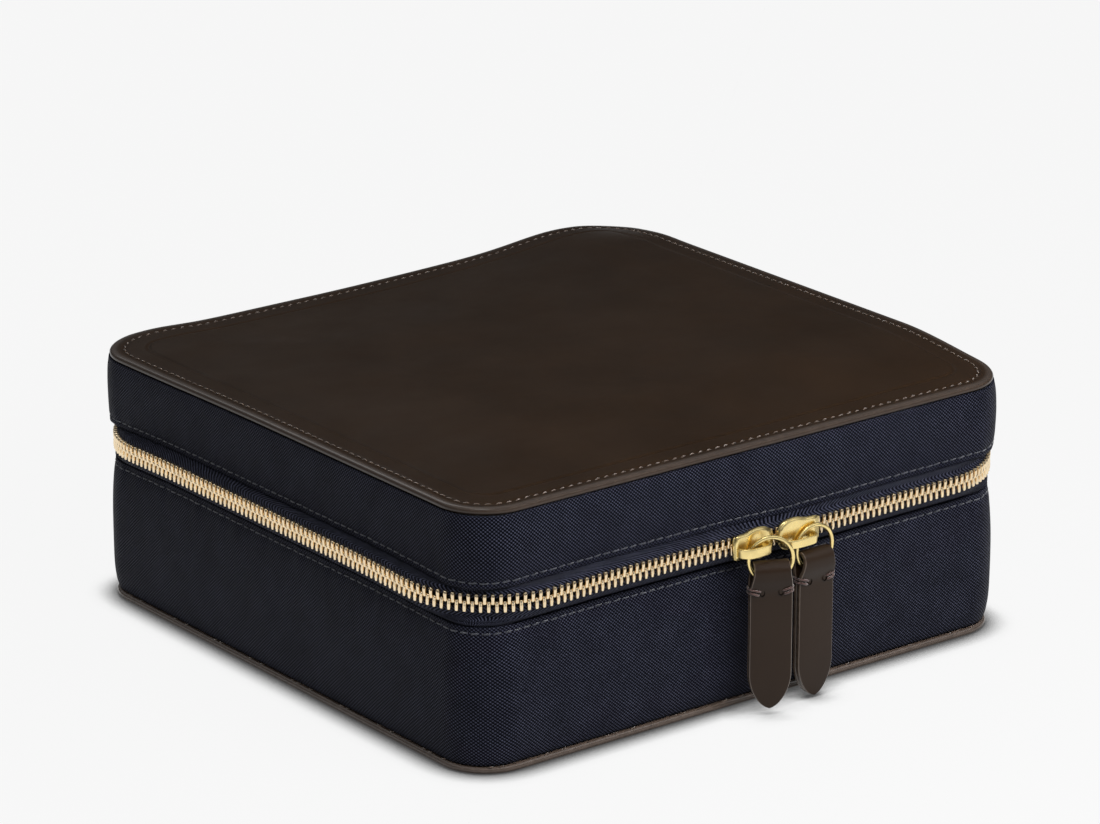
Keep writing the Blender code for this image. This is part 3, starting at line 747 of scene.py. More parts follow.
def fabric_walls():
    """The walls of the body and of the lid, from the curves of their faces."""
    low = BASE_TOP + 0.35
    body_keys = [(-1.1, low), (-0.2, 6.0), (0.45, 13.0), (0.5, 30.0), (-0.1, 41.0), (-1.0, LOWER_FOLD)]
    fabric_wall("body_twill", "case", "body_fabric_band", body_keys, False)
    lid_keys = [(0.5, UPPER_FOLD), (0.9, 68.0), (1.05, 75.0), (0.8, 81.0), (0.2, RIM_Z - 0.2)]
    fabric_wall("lid_twill", "lid", "lid_fabric_band", lid_keys, True)


# ---- Leather panels ----

LEATHER_STITCH_IN = 4.3
CREASE_IN = 11.5
CROWN = 2.6  # how much the lid's middle rises
PANEL = Path(step=2.2, corner_steps=20)


def panel_rings(path, rows):
    """Rings for (offset, z) rows, whose corners tighten as they go in."""
    return np.array([path.ring(offset, z, corner=max(17.0 + 0.75 * offset, 5.0)) for offset, z in rows])


def shrunk_rings(ring, shares, heights):
    """A ring shrunk towards the middle by each share, at each height."""
    middle = ring.mean(axis=0)
    made = []
    for share, height in zip(shares, heights):
        points = middle + (ring - middle) * share
        points[:, 2] = height
        made.append(points)
    return np.array(made)


def lid_top(distance):
    """Height of the leather's face over that distance in from the lid's edge."""
    groove = 0.38 * hump(distance, LEATHER_STITCH_IN, 0.75)
    crease = 0.46 * hump(distance, CREASE_IN, 0.55)
    return RIM_Z + 2.15 - groove - crease + CROWN * smooth(distance, 2.0, 62.0)


def lid_leather():
    """The lid's top: a burnished rim, a line of stitches, a pressed crease and a slightly crowned middle."""
    rim = arc((-0.82, RIM_Z + 1.05), 1.08, -90, 80, 12)
    face = np.concatenate((np.arange(1.4, 14.0, 0.42), (14.0,)))
    rows = [(-8.0, RIM_Z), (-3.0, RIM_Z), *rim, *[(-d, lid_top(d)) for d in face]]
    grid = panel_rings(PANEL, rows)
    shares = np.linspace(0.985, 0.03, 40)
    heights = lid_top(14.0 + (1 - shares) * (HALF_X - 14.0))
    grid = settle(np.vstack((grid, shrunk_rings(grid[-1], shares, heights))))
    turned = np.array([offset for offset, _ in rows])
    edge = np.concatenate((0.28 * smooth(turned, -2.6, -1.0), np.zeros(len(shares))))
    edge[:2] = 0.3
    piece = dome_piece("lid_leather", grid, "leather", edge)
    finish_piece(piece, "lid", "brown_leather", "lid_leather_panel")
    row = int(np.argmin([abs(offset + LEATHER_STITCH_IN) + (z < RIM_Z + 1) for offset, z in rows]))
    sew("lid_leather_stitches", "lid", "brown_leather", LID_SEAM, grid[row], grid_normals(grid, True)[row])


def glimpsed(number):
    """Whether that stitch of the base's seam is seen: the fabric hides the others."""
    return math.sin(2.4 * number) + math.sin(0.9 * number) > 0.5


def base_leather():
    """The base: a rounded, burnished rim, and a line of stitches in a groove underneath."""
    rim = arc((-1.1, BASE_TOP / 2), BASE_TOP / 2, -90, 90, 12)
    inward = np.arange(1.6, 9.0, 0.45)[::-1]
    groove = 0.4 * hump(inward, LEATHER_STITCH_IN, 0.75)
    rows = [*zip(-inward, groove), *rim, (-3.0, BASE_TOP), (-9.0, BASE_TOP)]
    grid = panel_rings(PANEL, rows)
    shares = np.linspace(0.03, 0.985, 20)
    grid = np.vstack((shrunk_rings(grid[0], shares, 0 * shares), grid))
    turned = np.array([offset for offset, _ in rows])
    edge = np.concatenate((np.zeros(len(shares)), smooth(turned, -2.6, -1.0)))
    piece = dome_piece("base_leather", grid, "leather", edge)
    finish_piece(piece, "case", "brown_leather", "base_leather_panel")
    row = len(shares) + int(np.argmin(np.abs(inward - LEATHER_STITCH_IN)))
    down = -np.abs(grid_normals(grid, True)[row]) * (0, 0, 1)
    sew("base_leather_stitches", "case", "brown_leather", BASE_SEAM, grid[row], down)
    line = PANEL.ring(-0.72, BASE_TOP + 0.08)
    sew("base_seam_stitches", "case", "brown_leather", BASE_GLIMPSES, line, PANEL.outward, shown=glimpsed)


# ---- Zip ----

TAPE = 0.8  # its thickness
TAPE_PATH = Path(step=2.0, gap=TAPE_END_X, corner_steps=20)
TEETH_PATH = Path(step=1.2, gap=TEETH_END_X, corner_steps=40)
# Half width along the zip, and half depth, of a tooth at each height over its tape end
TOOTH_SECTIONS = ((0.0, 0.46, 1.05), (0.12, 0.58, 1.22), (1.5, 0.59, 1.28), (2.2, 0.53, 1.18))
TOOTH_SECTIONS += ((2.5, 0.59, 1.08), (3.1, 0.60, 1.04), (3.4, 0.50, 0.92), (3.52, 0.30, 0.7))
TOOTH_REACH = 2.95  # from the zip's middle to a tooth's tape end


def tape(name, body, node, keys):
    """A zip tape: it comes out from behind the folded wall, turns, and its corded edge holds the teeth."""
    upward = 1 if keys[-1][1] > keys[0][1] else -1
    section = sheet_section(curve(keys, 26), -TAPE * upward)
    turned = smooth(section[:, 0], -1.5, 3.8)
    grid = settle(TAPE_PATH.loft(np.column_stack((section, turned))))[::upward]
    piece = grid_piece(name, grid, "tape", closed=False)
    finish_piece(piece, body, "zip_tape", node)


def tapes():
    """The zip's two tapes, from behind the walls to their corded edges."""
    edge = ZIP_PROUD - 1.3
    lower = [(-2.6, 43.8), (-2.5, 47.6), (-1.2, 49.3), (1.6, 50.6), (3.6, 52.2), (edge, 54.0), (edge, 55.4)]
    tape("lower_tape", "case", "lower_zip_tape", lower)
    upper = [(-1.1, 70.0), (-1.0, 63.2), (-0.3, 61.6), (2.0, 61.1), (3.7, 60.4), (edge, 59.2), (edge, 58.2)]
    tape("upper_tape", "lid", "upper_zip_tape", upper)


def teeth(name, body, node, sign):
    """A row of teeth, each a rounded bar on the tape, whose narrower head meets the other row's gaps."""
    line = settle(TEETH_PATH.ring(ZIP_PROUD - TOOTH_DEPTH / 2, ZIP_Z, 1.0))
    run = lengths(line)
    count = round(run[-1] / TOOTH_PITCH)
    where = (np.arange(count) + (0.25 if sign > 0 else 0.75)) * run[-1] / count
    turn = full_turn(12)
    square = np.stack((np.cos(turn), np.sin(turn)), axis=1)
    square = np.sign(square) * np.abs(square) ** 0.45
    parts = []
    for point, normal in zip(sampled(line, run, where), unit(sampled(TEETH_PATH.outward, run, where))):
        ahead = np.cross((0.0, 0.0, 1.0), normal)
        rings = []
        for height, wide, deep in TOOTH_SECTIONS:
            middle = point + np.array((0, 0, sign * (TOOTH_REACH - height)))
            rings.append(middle + square[:, :1] * wide * ahead + square[:, 1:] * deep * normal)
        parts.append(capped(np.array(rings[::-sign])))
    finish_piece(joined(name, parts, "teeth"), body, "zip_brass", node)


def stops():
    """The crimped stops at the zip's ends, each with a pinched waist."""
    for row, body in (("lower", "case"), ("upper", "lid")):
        for side in ("left", "right"):
            node = f"{row}_zip_stop_{side}"
            low, high = box_mm(node)
            piece = soft_block(f"{node}_crimp", low, high, "teeth", 0.45, 3, 0.12)
            finish_piece(piece, body, "zip_brass", node)


# ---- Sliders, rings and pullers ----

# Half the plate's height at shares of the way from tail to nose
PLATE_TOP = ((0.0, 3.35), (0.13, 3.45), (0.30, 3.6), (0.46, 4.25), (0.60, 4.6), (0.78, 4.35))
PLATE_TOP += ((0.92, 3.3), (1.0, 1.5))
BACK_PLATE_HALF = 2.3  # half the back plate's height, which clears the tapes
PLATE_EDGE = 0.34  # how far a plate's edges are rounded
BRIDGE_THICKNESS = 1.0
WIRE = 0.7  # a ring's wire, from its middle


def plate_outline(tail, nose, count=26):
    """The slider's front plate: a narrow tail that sweeps up to its shoulders, and a rounded nose."""
    upper = curve([(tail + share * (nose - tail), height) for share, height in PLATE_TOP], count)
    outline = np.vstack((upper, (upper * (1, -1))[::-1])) + (0.0, ZIP_Z)
    return outline if nose > tail else outline[::-1]


def inset(outline, distance):
    """A closed outline moved inward by distance."""
    ahead = unit(np.roll(outline, -1, axis=0) - np.roll(outline, 1, axis=0))
    return outline - np.stack((-ahead[:, 1], ahead[:, 0]), axis=1) * distance


def plate(outline, front, back, dome):
    """A stamped plate's rings in the XZ plane, with rounded edges and a slightly domed face."""
    profile = [(PLATE_EDGE, back), (0.0, back - PLATE_EDGE), (0.0, front + PLATE_EDGE)]
    profile += [(0.1, front + 0.1), (PLATE_EDGE, front), (0.7, front - 0.06)]
    rings = [np.insert(inset(outline, -distance), 1, y, axis=1) for distance, y in profile]
    middle, shoulder = rings[-1].mean(axis=0), rings[-1]
    for share in (0.75, 0.5, 0.25, 0.05):
        ring = middle + (shoulder - middle) * share
        ring[:, 1] = front - 0.06 - dome * (1 - share**2)
        rings.append(ring)
    back_middle = rings[0].mean(axis=0)
    return np.array([back_middle + (rings[0] - back_middle) * 0.3, *rings])


def slider(side):
    """A slider: its front plate with lips, its back plate and post, and the bridge its ring hangs on."""
    low, high = box_mm(f"{side}_slider_body")
    tail, nose = (low[0], high[0]) if side == "left" else (high[0], low[0])
    front, back = low[1], high[1]
    outline = plate_outline(tail, nose)
    narrow = np.clip(outline, (-np.inf, ZIP_Z - BACK_PLATE_HALF), (np.inf, ZIP_Z + BACK_PLATE_HALF))
    parts = [capped(plate(outline, front, front + 1.3, 0.16)), capped(plate(narrow, back - 1.1, back, 0.0))]
    for sign in (1, -1):  # the lips that turn back over the teeth
        share = np.linspace(0.34, 0.93, 16)
        height = np.interp(share, *zip(*PLATE_TOP)) - 0.4
        x = tail + share * (nose - tail)
        line = np.stack((x, np.full(len(x), front + 1.7), ZIP_Z + sign * height), axis=1)
        radius = np.interp(share, (0.34, 0.45, 0.85, 0.93), (0.12, 0.5, 0.5, 0.15))
        parts.append(tube(line, radius, 8, up=(0, 1, 0)))
    post_x = nose - math.copysign(2.6, nose - tail)
    parts.append(tube([(post_x, y, ZIP_Z) for y in np.linspace(front + 1.0, back - 0.8, 4)], 0.4, 6))
    piece = joined(f"{side}_slider_plates", parts, "gold")
    finish_piece(piece, f"{side}_slider", "slider_brass", f"{side}_slider_body")
    bridge(side)


def bridge(side):
    """The bridge on a slider: a thick strip bent from foot to foot, with rounded edges."""
    low, high = box_mm(f"{side}_slider_bridge")
    thick, corner = BRIDGE_THICKNESS / 2, 0.3
    crown = low[1] + thick
    foot = high[1] + 0.35
    left, right = low[0] + thick, high[0] - thick
    keys = [(left, foot), (left, foot - 0.9), (left + 0.7, crown + 1.6), (left + 2.4, crown + 0.3)]
    keys += [(left + 4.2, crown), (right - 4.0, crown), (right - 2.0, crown + 0.3)]
    keys += [(right - 0.5, crown + 1.6), (right, foot - 0.9), (right, foot)]
    line = curve(keys, 40)
    taper = (high[2] - low[2]) / 2 * (1 - 0.10 * np.abs(np.linspace(-1, 1, len(line))) ** 3)
    section = round_section((-thick + corner, -1.0), (thick - corner, 1.0), corner, 4)
    deep, side_of = section[:, 0], np.sign(section[:, 1])
    grid = []
    for (x, y), (nx, ny), tall in zip(line, plane_normals(line), taper):
        up = side_of * (tall - corner) + (section[:, 1] - side_of)
        grid.append(np.stack((x + nx * deep, y + ny * deep, (low[2] + high[2]) / 2 + up), axis=1))
    points, faces, _ = capped(np.array(grid)[:, ::-1])
    piece = mesh_piece(f"{side}_bridge", points, faces, "gold")
    finish_piece(piece, f"{side}_slider", "slider_brass", f"{side}_slider_bridge")


def ring_place(side):
    """A ring's middle, the level direction along its plane, from its joint and its box, and its radius."""
    low, high = box_mm(f"{side}_ring")
    middle = (low + high) / 2
    joint = next(j for j in frame["record"]["behaviour"]["joints"] if j["name"] == f"{side}_ring_turn")
    out = middle - np.array(joint["pos_m"]) / MM
    out[2] = 0
    return middle, unit(out), (high[2] - low[2]) / 2 - WIRE


def ring(side):
    """A wire ring, closed with a fine seam where its ends meet at the back."""
    middle, out, radius = ring_place(side)
    turn = full_turn(120)
    line = middle + radius * (np.cos(turn)[:, None] * out + np.sin(turn)[:, None] * np.array((0, 0, 1.0)))
    seam = 1 - 0.12 * hump(turn, math.pi / 2, 0.02)
    points, faces, _ = tube(line, WIRE * seam, 18, closed=True, up=np.cross(out, (0, 0, 1)))
    piece = mesh_piece(f"{side}_wire_ring", points, faces, "gold")
    finish_piece(piece, f"{side}_ring", "slider_brass", f"{side}_ring")


STRAP = 1.55  # one layer's thickness
STRAP_GAP = 0.06
STRAP_HALF = 6.95  # half its width
STRAP_FOLD_HALF = 5.9  # half its width at the fold
FOLD_RADIUS = 2.6  # of the strap's middle


def strap_width(z, tip):
    """Half the puller's width at a height: narrow at its fold, wide below, and pointed at its tip."""
    body = STRAP_FOLD_HALF + (STRAP_HALF - STRAP_FOLD_HALF) * smooth(-z, 2.2, 9.6)
    share = np.clip((z - tip) / 11.5, 0.0, 1.0)
    return body * (1 - (1 - share) ** 1.75) ** 0.57


def hung(side, points):
    """Points across, through and up a puller, put where it hangs on its ring."""
    middle, across, _ = ring_place(side)
    up = np.array((0, 0, 1.0))
    through = np.cross(up, across)
    return middle + points[..., :1] * across + points[..., 1:2] * through + points[..., 2:] * up


def strap_line(tip, top, layer):
    """The middle of a folded strap, seen from its side: up its front from its tip, over the ring and down."""
    fold_z = top - STRAP / 2 - FOLD_RADIUS
    front = [(-layer, tip), (-layer, tip + 6), (-layer, -16.0), (-layer, -11.6), (-layer - 0.35, -9.6)]
    front += [(-FOLD_RADIUS + 0.25, -6.2), (-FOLD_RADIUS, fold_z)]
    over = arc((0.0, fold_z), FOLD_RADIUS, 180, 0, 15)[1:-1]
    back = [(-y, z) for y, z in front[::-1]]
    line = spaced(np.vstack((curve(front, 60), over, curve(back, 60))), 150)
    inside = line[(line[:, 1] > tip + 2.6) | (np.abs(line[:, 0]) > layer + 0.3)]
    fine = tip + 0.02 + np.array((0.0, 0.12, 0.35, 0.7, 1.2, 1.9))
    tips = np.stack((np.full(6, -layer), fine), axis=1)
    return np.vstack((tips, inside, (tips * (-1, 1))[::-1]))


def strap_section(width):
    """A strap's section, across and through it: a slightly crowned face, rounded edges and a flat back."""
    corner, half = 0.42, STRAP / 2
    flat_share = np.linspace(1, -1, 9)
    face = [(share * (width - corner), half + 0.06 * (1 - share**2)) for share in flat_share]
    left = [*arc((-width + corner, half - corner), corner, 100, 180, 5)]
    left += [*arc((-width + corner, -half + corner), corner, 180, 260, 5)]
    back = [(-share * (width - corner), -half) for share in flat_share]
    right = [*arc((width - corner, -half + corner), corner, 280, 360, 5)]
    right += [*arc((width - corner, half - corner), corner, 0, 80, 5)]
    section = np.array(face + left + back + right)
    cut = (np.abs(section[:, 0]) > width - corner * 0.9) & (np.abs(section[:, 1]) < half - 0.02)
    return section, cut * 1.0


def puller(side):
    """A leather strap folded over its ring: two layers sewn together by a bar tack at each edge."""
    middle = ring_place(side)[0]
    low, high = box_mm(f"{side}_puller")
    tip, top = low[2] - middle[2], high[2] - middle[2]
    layer = STRAP / 2 + STRAP_GAP
    line = strap_line(tip, top, layer)
    grid, edge = [], []
    for (y, z), (ny, nz) in zip(line, -plane_normals(line)):
        section, cut = strap_section(max(float(strap_width(z, tip)), 0.5))
        grid.append(np.stack((section[:, 0], y + ny * section[:, 1], z + nz * section[:, 1]), axis=1))
        edge.append(cut)
    points, faces, _ = capped(hung(side, np.array(grid)))
    faces = [face[::-1] for face in faces]
    piece = mesh_piece(f"{side}_strap", points, faces, "puller", edge=np.array(edge).ravel())
    finish_piece(piece, f"{side}_puller", "brown_leather", f"{side}_puller")
    bar_tacks(side, layer + STRAP / 2)


def bar_tacks(side, face):
    """Two thick stitches round each edge of a puller, each from a hole in its front to one in its back."""
    threads, holes = [], []
    turn = full_turn(14)
    hole = np.stack((0.85 * np.cos(turn), 0 * turn, 1.15 * np.sin(turn)), axis=1)
    wide, bulge = STRAP_HALF, face + 0.55
    for sign in (-1, 1):
        for number, (inner, outer) in enumerate(((-10.1, -9.3), (-11.3, -10.5))):
            reach = wide - 3.3 + 0.5 * number
            half = [(reach, -face + 0.5, inner), (reach + 0.35, -bulge + 0.2, inner + 0.05)]
            half += [(wide - 0.9, -bulge - 0.05, outer - 0.1), (wide + 0.05, -face + 0.3, outer)]
            keys = [*half, (wide + 0.3, 0.0, outer), *[(x, -y, z) for x, y, z in half[::-1]]]
            threads.append(tube(hung(side, curve(np.array(keys) * (sign, 1, 1), 40)), 0.40, 8))
        for y, turned in ((-face - 0.42, 1), (face + 0.42, -1)):
            middle = np.array((sign * (wide - 3.9), y, -10.7))
            rim = hung(side, middle + hole)
            pit = hung(side, middle + hole * 0.55 + np.array((0, 0.5 * turned, 0)))
            faces = [*grid_faces(2, len(hole)), tuple(range(len(hole), 2 * len(hole)))]
            faces = [face_points[::turned] for face_points in faces]
            # Each hole's pit is coloured with painted shade
            holes.append((np.vstack((rim, pit)), faces, np.zeros((sum(map(len, faces)), 2))))
    finish_piece(joined(f"{side}_bar_tacks", threads, "puller_thread"), f"{side}_puller", "brown_leather")
    finish_piece(joined(f"{side}_tack_holes", holes, "hole"), f"{side}_puller", "brown_leather")


# ---- Fabric hinge ----

GUSSET_END_X = 74.6
GUSSET_FABRIC = 0.9


def hinge_gusset():
    """The fabric hinge: sewn to both walls at the back, it covers the zip's ends."""
    back = HALF_Y
    face = [(back - 0.2, 43.6), (back + 0.6, 46.2), (back + 1.6, 49.0), (back + 3.0, 52.2)]
    face += [(back + 3.5, 55.0), (back + 3.5, 58.6), (back + 3.1, 61.6), (back + 2.1, 64.6)]
    face.append((back + 1.9, 67.6))
    outer = curve(face, 34)
    section = np.vstack((outer, (outer - (GUSSET_FABRIC, 0))[::-1]))
    x = np.linspace(GUSSET_END_X, -GUSSET_END_X, 110)
    soft = ripple(x, (31.0, 0.5, 1.0), (17.0, 0.3, 2.0)) * 0.16
    middle = 1 - smooth(np.abs(section[:, 1] - ZIP_Z), 2.0, 10.0)
    rounded = 0.5 * smooth(np.abs(x), GUSSET_END_X - 1.6, GUSSET_END_X)
    grid = np.zeros((len(section), len(x), 3))
    grid[..., 0] = x
    grid[..., 1] = section[:, 0][:, None] + middle[:, None] * soft - rounded
    grid[..., 2] = section[:, 1][:, None]
    piece = grid_piece("hinge_cloth", grid, "nylon", closed=False)
    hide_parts("hinge_gusset")
    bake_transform(piece)
    normals = grid_normals(grid, False)
    for row_z, body in ((45.6, "case"), (66.0, "lid")):
        row = int(np.argmin(np.abs(outer[:, 1] - row_z)))
        for number in (0, 1):
            seam = row + number * (-1 if body == "lid" else 1) * 3
            line, facing = grid[seam][2:-2], normals[seam][2:-2]
            sew(f"hinge_seam_{body}_{number + 1}", body, "navy_twill", HINGE_SEAM, line, facing, False)


# ---- Inside ----

LINING_OFFSET = -5.75
LINING = 0.7  # its thickness
LINING_SEAM_OFFSET = 0.2  # of the stitches that hold the lining to the zip tape
LINED = Path(step=2.2, corner_steps=18)
CLOTH_FRAMES = 20


def puffed(piece, voxel, reach, low, high):
    """Inflates a closed piece as cloth, holding each point within reach and between two corners."""
    remesh = piece.modifiers.new("Remesh", "REMESH")
    remesh.mode = "VOXEL"
    remesh.voxel_size = voxel * MM
    apply_modifiers(piece)
    start = coordinates(piece.data)
    cloth = piece.modifiers.new("Cloth", "CLOTH")
    cloth.settings.quality = 6
    cloth.settings.mass = 0.3
    cloth.settings.use_pressure = True
    cloth.settings.uniform_pressure_force = 4.0
    cloth.settings.effector_weights.gravity = 0.0
    cloth.point_cache.frame_start = 1
    cloth.point_cache.frame_end = CLOTH_FRAMES
    for number in range(1, CLOTH_FRAMES + 1):
        bpy.context.scene.frame_set(number)
    shown = piece.evaluated_get(bpy.context.evaluated_depsgraph_get())
    made = shown.to_mesh()
    swollen = coordinates(made)
    shown.to_mesh_clear()
    piece.modifiers.clear()
    bpy.context.scene.frame_set(1)
    moved = swollen - start
    far = np.linalg.norm(moved, axis=1, keepdims=True)
    points = start + moved * np.minimum(1.0, reach * MM / np.maximum(far, 1e-9))
    points = np.clip(points, low * MM, high * MM)
    piece.data.vertices.foreach_set("co", points.astype(np.float32).ravel())
    piece.data.update()
    piece.modifiers.new("Smooth", "SUBSURF").levels = 1
    apply_modifiers(piece)
    piece.data.polygons.foreach_set("use_smooth", [True] * len(piece.data.polygons))


def coordinates(mesh):
    """A mesh's points, in metres."""
    points = np.zeros(len(mesh.vertices) * 3, np.float32)
    mesh.vertices.foreach_get("co", points)
    return points.reshape(-1, 3).astype(float)


def apply_modifiers(piece):
    """Puts a piece's modifiers into its mesh."""
    old, shown = piece.data, piece.evaluated_get(bpy.context.evaluated_depsgraph_get())
    name = old.name
    made = bpy.data.meshes.new_from_object(shown)
    piece.modifiers.clear()
    piece.data = made
    bpy.data.meshes.remove(old)
    made.name = name


def lining(name, body, node, rows):
    """A lining glued inside a wall, whose edge rolls out over the wall to meet the zip tape."""
    upward = 1 if rows[-1][1] > rows[0][1] else -1
    face = curve(rows, 60)
    section = sheet_section(face, LINING * upward)
    turned = smooth(section[:, 0], -4.0, 3.8)
    grid = LINED.loft(np.column_stack((section, turned)))
    grid[..., 1] = np.minimum(grid[..., 1], HALF_Y + 0.7)
    grid = settle(grid)[::-upward]
    piece = grid_piece(name, grid, "suede")
    finish_piece(piece, body, "suede_lining", node)
    row = int(np.argmin(np.abs(section[: len(face), 0] - LINING_SEAM_OFFSET)))
    seam = grid[len(section) - 1 - row] if upward > 0 else grid[row]
    normals = np.broadcast_to((0.0, 0.0, float(upward)), seam.shape)
    sew(f"{name}_stitches", body, "suede_lining", LINING_SEAM, seam, normals)


def linings():
    """The linings of the body and of the lid."""
    inner = LINING_OFFSET - LINING
    lip = [(inner + 0.9, 51.7), (-3.0, 52.2), (0.5, 52.2), (2.8, 52.9)]
    lining("body_suede", "case", "body_lining", [(inner, 8.3), (inner, 30.0), (inner, 49.6), *lip])
    lip = [(inner + 0.9, 60.1), (-3.0, 59.6), (0.5, 59.3), (3.0, 58.7)]
    lining("lid_suede", "lid", "lid_lining", [(inner, 78.0), (inner, 70.0), (inner, 62.0), *lip])


def slab(path, rim, corner, shares, low_z, high_z):
    """A slab's rings: out under it, round its rim and in over it. corner is its radius at the wall."""
    grid = np.array([path.ring(offset, z, corner=corner + offset) for offset, z in rim])
    under = shrunk_rings(grid[0], shares[::-1], low_z + 0 * shares)
    over = shrunk_rings(grid[-1], shares, high_z + 0 * shares)
    return np.vstack((under, grid, over))


def pad(name, body, node):
    """A thin foam pad wrapped in suede, rounded along its edges."""
    low, high = box_mm(node)
    half = (high[2] - low[2]) / 2
    offset = high[0] - HALF_X
    rim = arc((offset - half, low[2] + half), half, -90, 90, 9)
    path = Path(step=4.0, corner_steps=10)
    grid = slab(path, rim, 10.3 - offset, np.linspace(0.97, 0.04, 22), low[2], high[2])
    piece = dome_piece(name, grid, "suede")
    puffed(piece, 4.0, 0.8, low, high)
    finish_piece(piece, body, "suede_lining", node)


def lid_pocket():
    """The lid's flat pocket: smooth where it is sewn down, and gathered by the elastic along its mouth."""
    low, high = box_mm("lid_pocket")
    x = np.linspace(high[0], low[0], 260)
    share = np.linspace(0, 1, 60)
    y = low[1] + (high[1] - low[1]) * share
    gathered = (1 - smooth(share, 0.0, 0.75))[:, None]
    fine = ripple(x, (6.3, 0.55, 0.2), (4.4, 0.35, 1.3), (9.7, 0.45, 2.9))[None, :]
    fade = (1 - smooth(np.abs(x), 88.0, 96.0))[None, :]
    middle_z = (low[2] + high[2]) / 2
    z = middle_z - 0.15 + 0.62 * gathered * fine * fade - 0.5 * fade * np.sin(math.pi * share)[:, None]
    cloth = np.stack((np.broadcast_to(x, z.shape), np.broadcast_to(y[:, None], z.shape), z), axis=-1)
    half_thick = np.array((0, 0, 0.3))
    grid = np.concatenate((cloth - half_thick, (cloth + half_thick)[::-1]))
    piece = grid_piece("pocket_cloth", grid, "suede", closed=False)
    finish_piece(piece, "lid", "suede_lining", "lid_pocket")
    sewn_in = 2.6
    left, right, top, mouth = low[0] + sewn_in, high[0] - sewn_in, high[1] - sewn_in, low[1] + 4
    corners = [(left, mouth), (left, top), (right, top), (right, mouth)]
    part = np.linspace(0, 1, 40)[:, None]
    for number, (start, stop) in enumerate(zip(corners, corners[1:])):
        flat = np.array(start) * (1 - part) + np.array(stop) * part
        seam = np.column_stack((flat, np.full(40, middle_z - 0.5)))
        down = np.broadcast_to((0.0, 0.0, -1.0), seam.shape)
        sew(f"pocket_seam_{number + 1}", "lid", "suede_lining", LINING_SEAM, seam, down, False)
    pocket_elastic(x, fade)


def pocket_elastic(x, fade):
    """The pocket's mouth: elastic in a ruffled casing."""
    low, high = box_mm("lid_pocket_elastic")
    middle = (low + high) / 2
    turn = np.radians(np.linspace(0, 360, 20, endpoint=False))
    half_y, half_z = (high[1] - low[1]) / 2 - 0.2, (high[2] - low[2]) / 2 - 0.35
    ruffle = ripple(x, (3.1, 0.5, 0.4), (2.3, 0.4, 1.1), (4.9, 0.4, 2.2))[None, :]
    side_y = np.sign(np.cos(turn)) * np.abs(np.cos(turn)) ** 0.6
    side_z = np.sin(turn)
    y = middle[1] + side_y[:, None] * (half_y + 0.22 * ruffle)
    z = middle[2] + side_z[:, None] * (half_z - 0.15) + 0.25 * ruffle * np.abs(side_z)[:, None] * fade
    grid = np.stack((np.broadcast_to(x, z.shape), y, z), axis=-1)
    piece = grid_piece("pocket_elastic", grid[::-1], "suede", closed=False)
    finish_piece(piece, "lid", "suede_lining", "lid_pocket_elastic")


def wrapped_board(node, body):
    """A divider: board wrapped in suede, with soft edges and slightly pinched faces."""
    low, high = box_mm(node)
    piece = soft_block(f"{node}_wrap", low, high, "suede", 0.85, 4, 0.12)
    finish_piece(piece, body, "suede_lining", node)


def tray():
    """The lift-out tray: its rim, floor and dividers, the ring rolls in it and the tabs that lift it."""
    for node in ("tray_divider_long", "tray_divider_left", "tray_divider_right"):
        wrapped_board(node, "tray")
    low, high = box_mm("tray_wall")
    path = Path(step=3.0, corner_steps=10, half=(high[0], high[1]))
    wall, rounding, corner = 2.2, 0.85, 6.0
    rows = round_section((-wall + rounding, low[2] + rounding), (-rounding, high[2] - rounding), rounding, 5)
    grid = np.array([path.ring(offset, z, corner=corner + offset) for offset, z in rows])
    piece = grid_piece("tray_rim", grid, "suede")
    finish_piece(piece, "tray", "suede_lining", "tray_wall")
    low, high = box_mm("tray_base")
    rim = arc((-0.9, (low[2] + high[2]) / 2), 0.95, -90, 90, 7)
    grid = slab(path, rim, corner, np.linspace(0.97, 0.05, 10), low[2], high[2])
    piece = dome_piece("tray_floor", grid, "suede")
    finish_piece(piece, "tray", "suede_lining", "tray_base")
    ring_rolls()
    tray_tabs()


def roll_rings(low, high):
    """A ring roll's rings, from end to end: a round top, a flat foot and rounded ends."""
    radius = (high[1] - low[1]) / 2 - 0.7
    middle = (low[1] + high[1]) / 2
    crown = high[2] - 0.7 - radius
    section = np.vstack((
        arc((middle, crown), radius, 0, 180, 15),
        arc((middle - radius + 3.0, low[2] + 3.2), 3.0, 180, 270, 4),
        arc((middle + radius - 3.0, low[2] + 3.2), 3.0, 270, 360, 4),
    ))
    centre = np.array((middle, (low[2] + crown + radius) / 2))
    long = high[0] - low[0]
    ends = [(0.0, 0.55), (0.5, 0.82), (1.5, 0.94), (3.0, 1.0)]
    stations = [*ends, *[(x, 1.0) for x in np.arange(8.0, long - 7.0, 5.0)]]
    stations += [(long - x, part) for x, part in ends[::-1]]
    rings = [np.insert(centre + (section - centre) * part, 0, low[0] + x, axis=1) for x, part in stations]
    return np.array(rings)


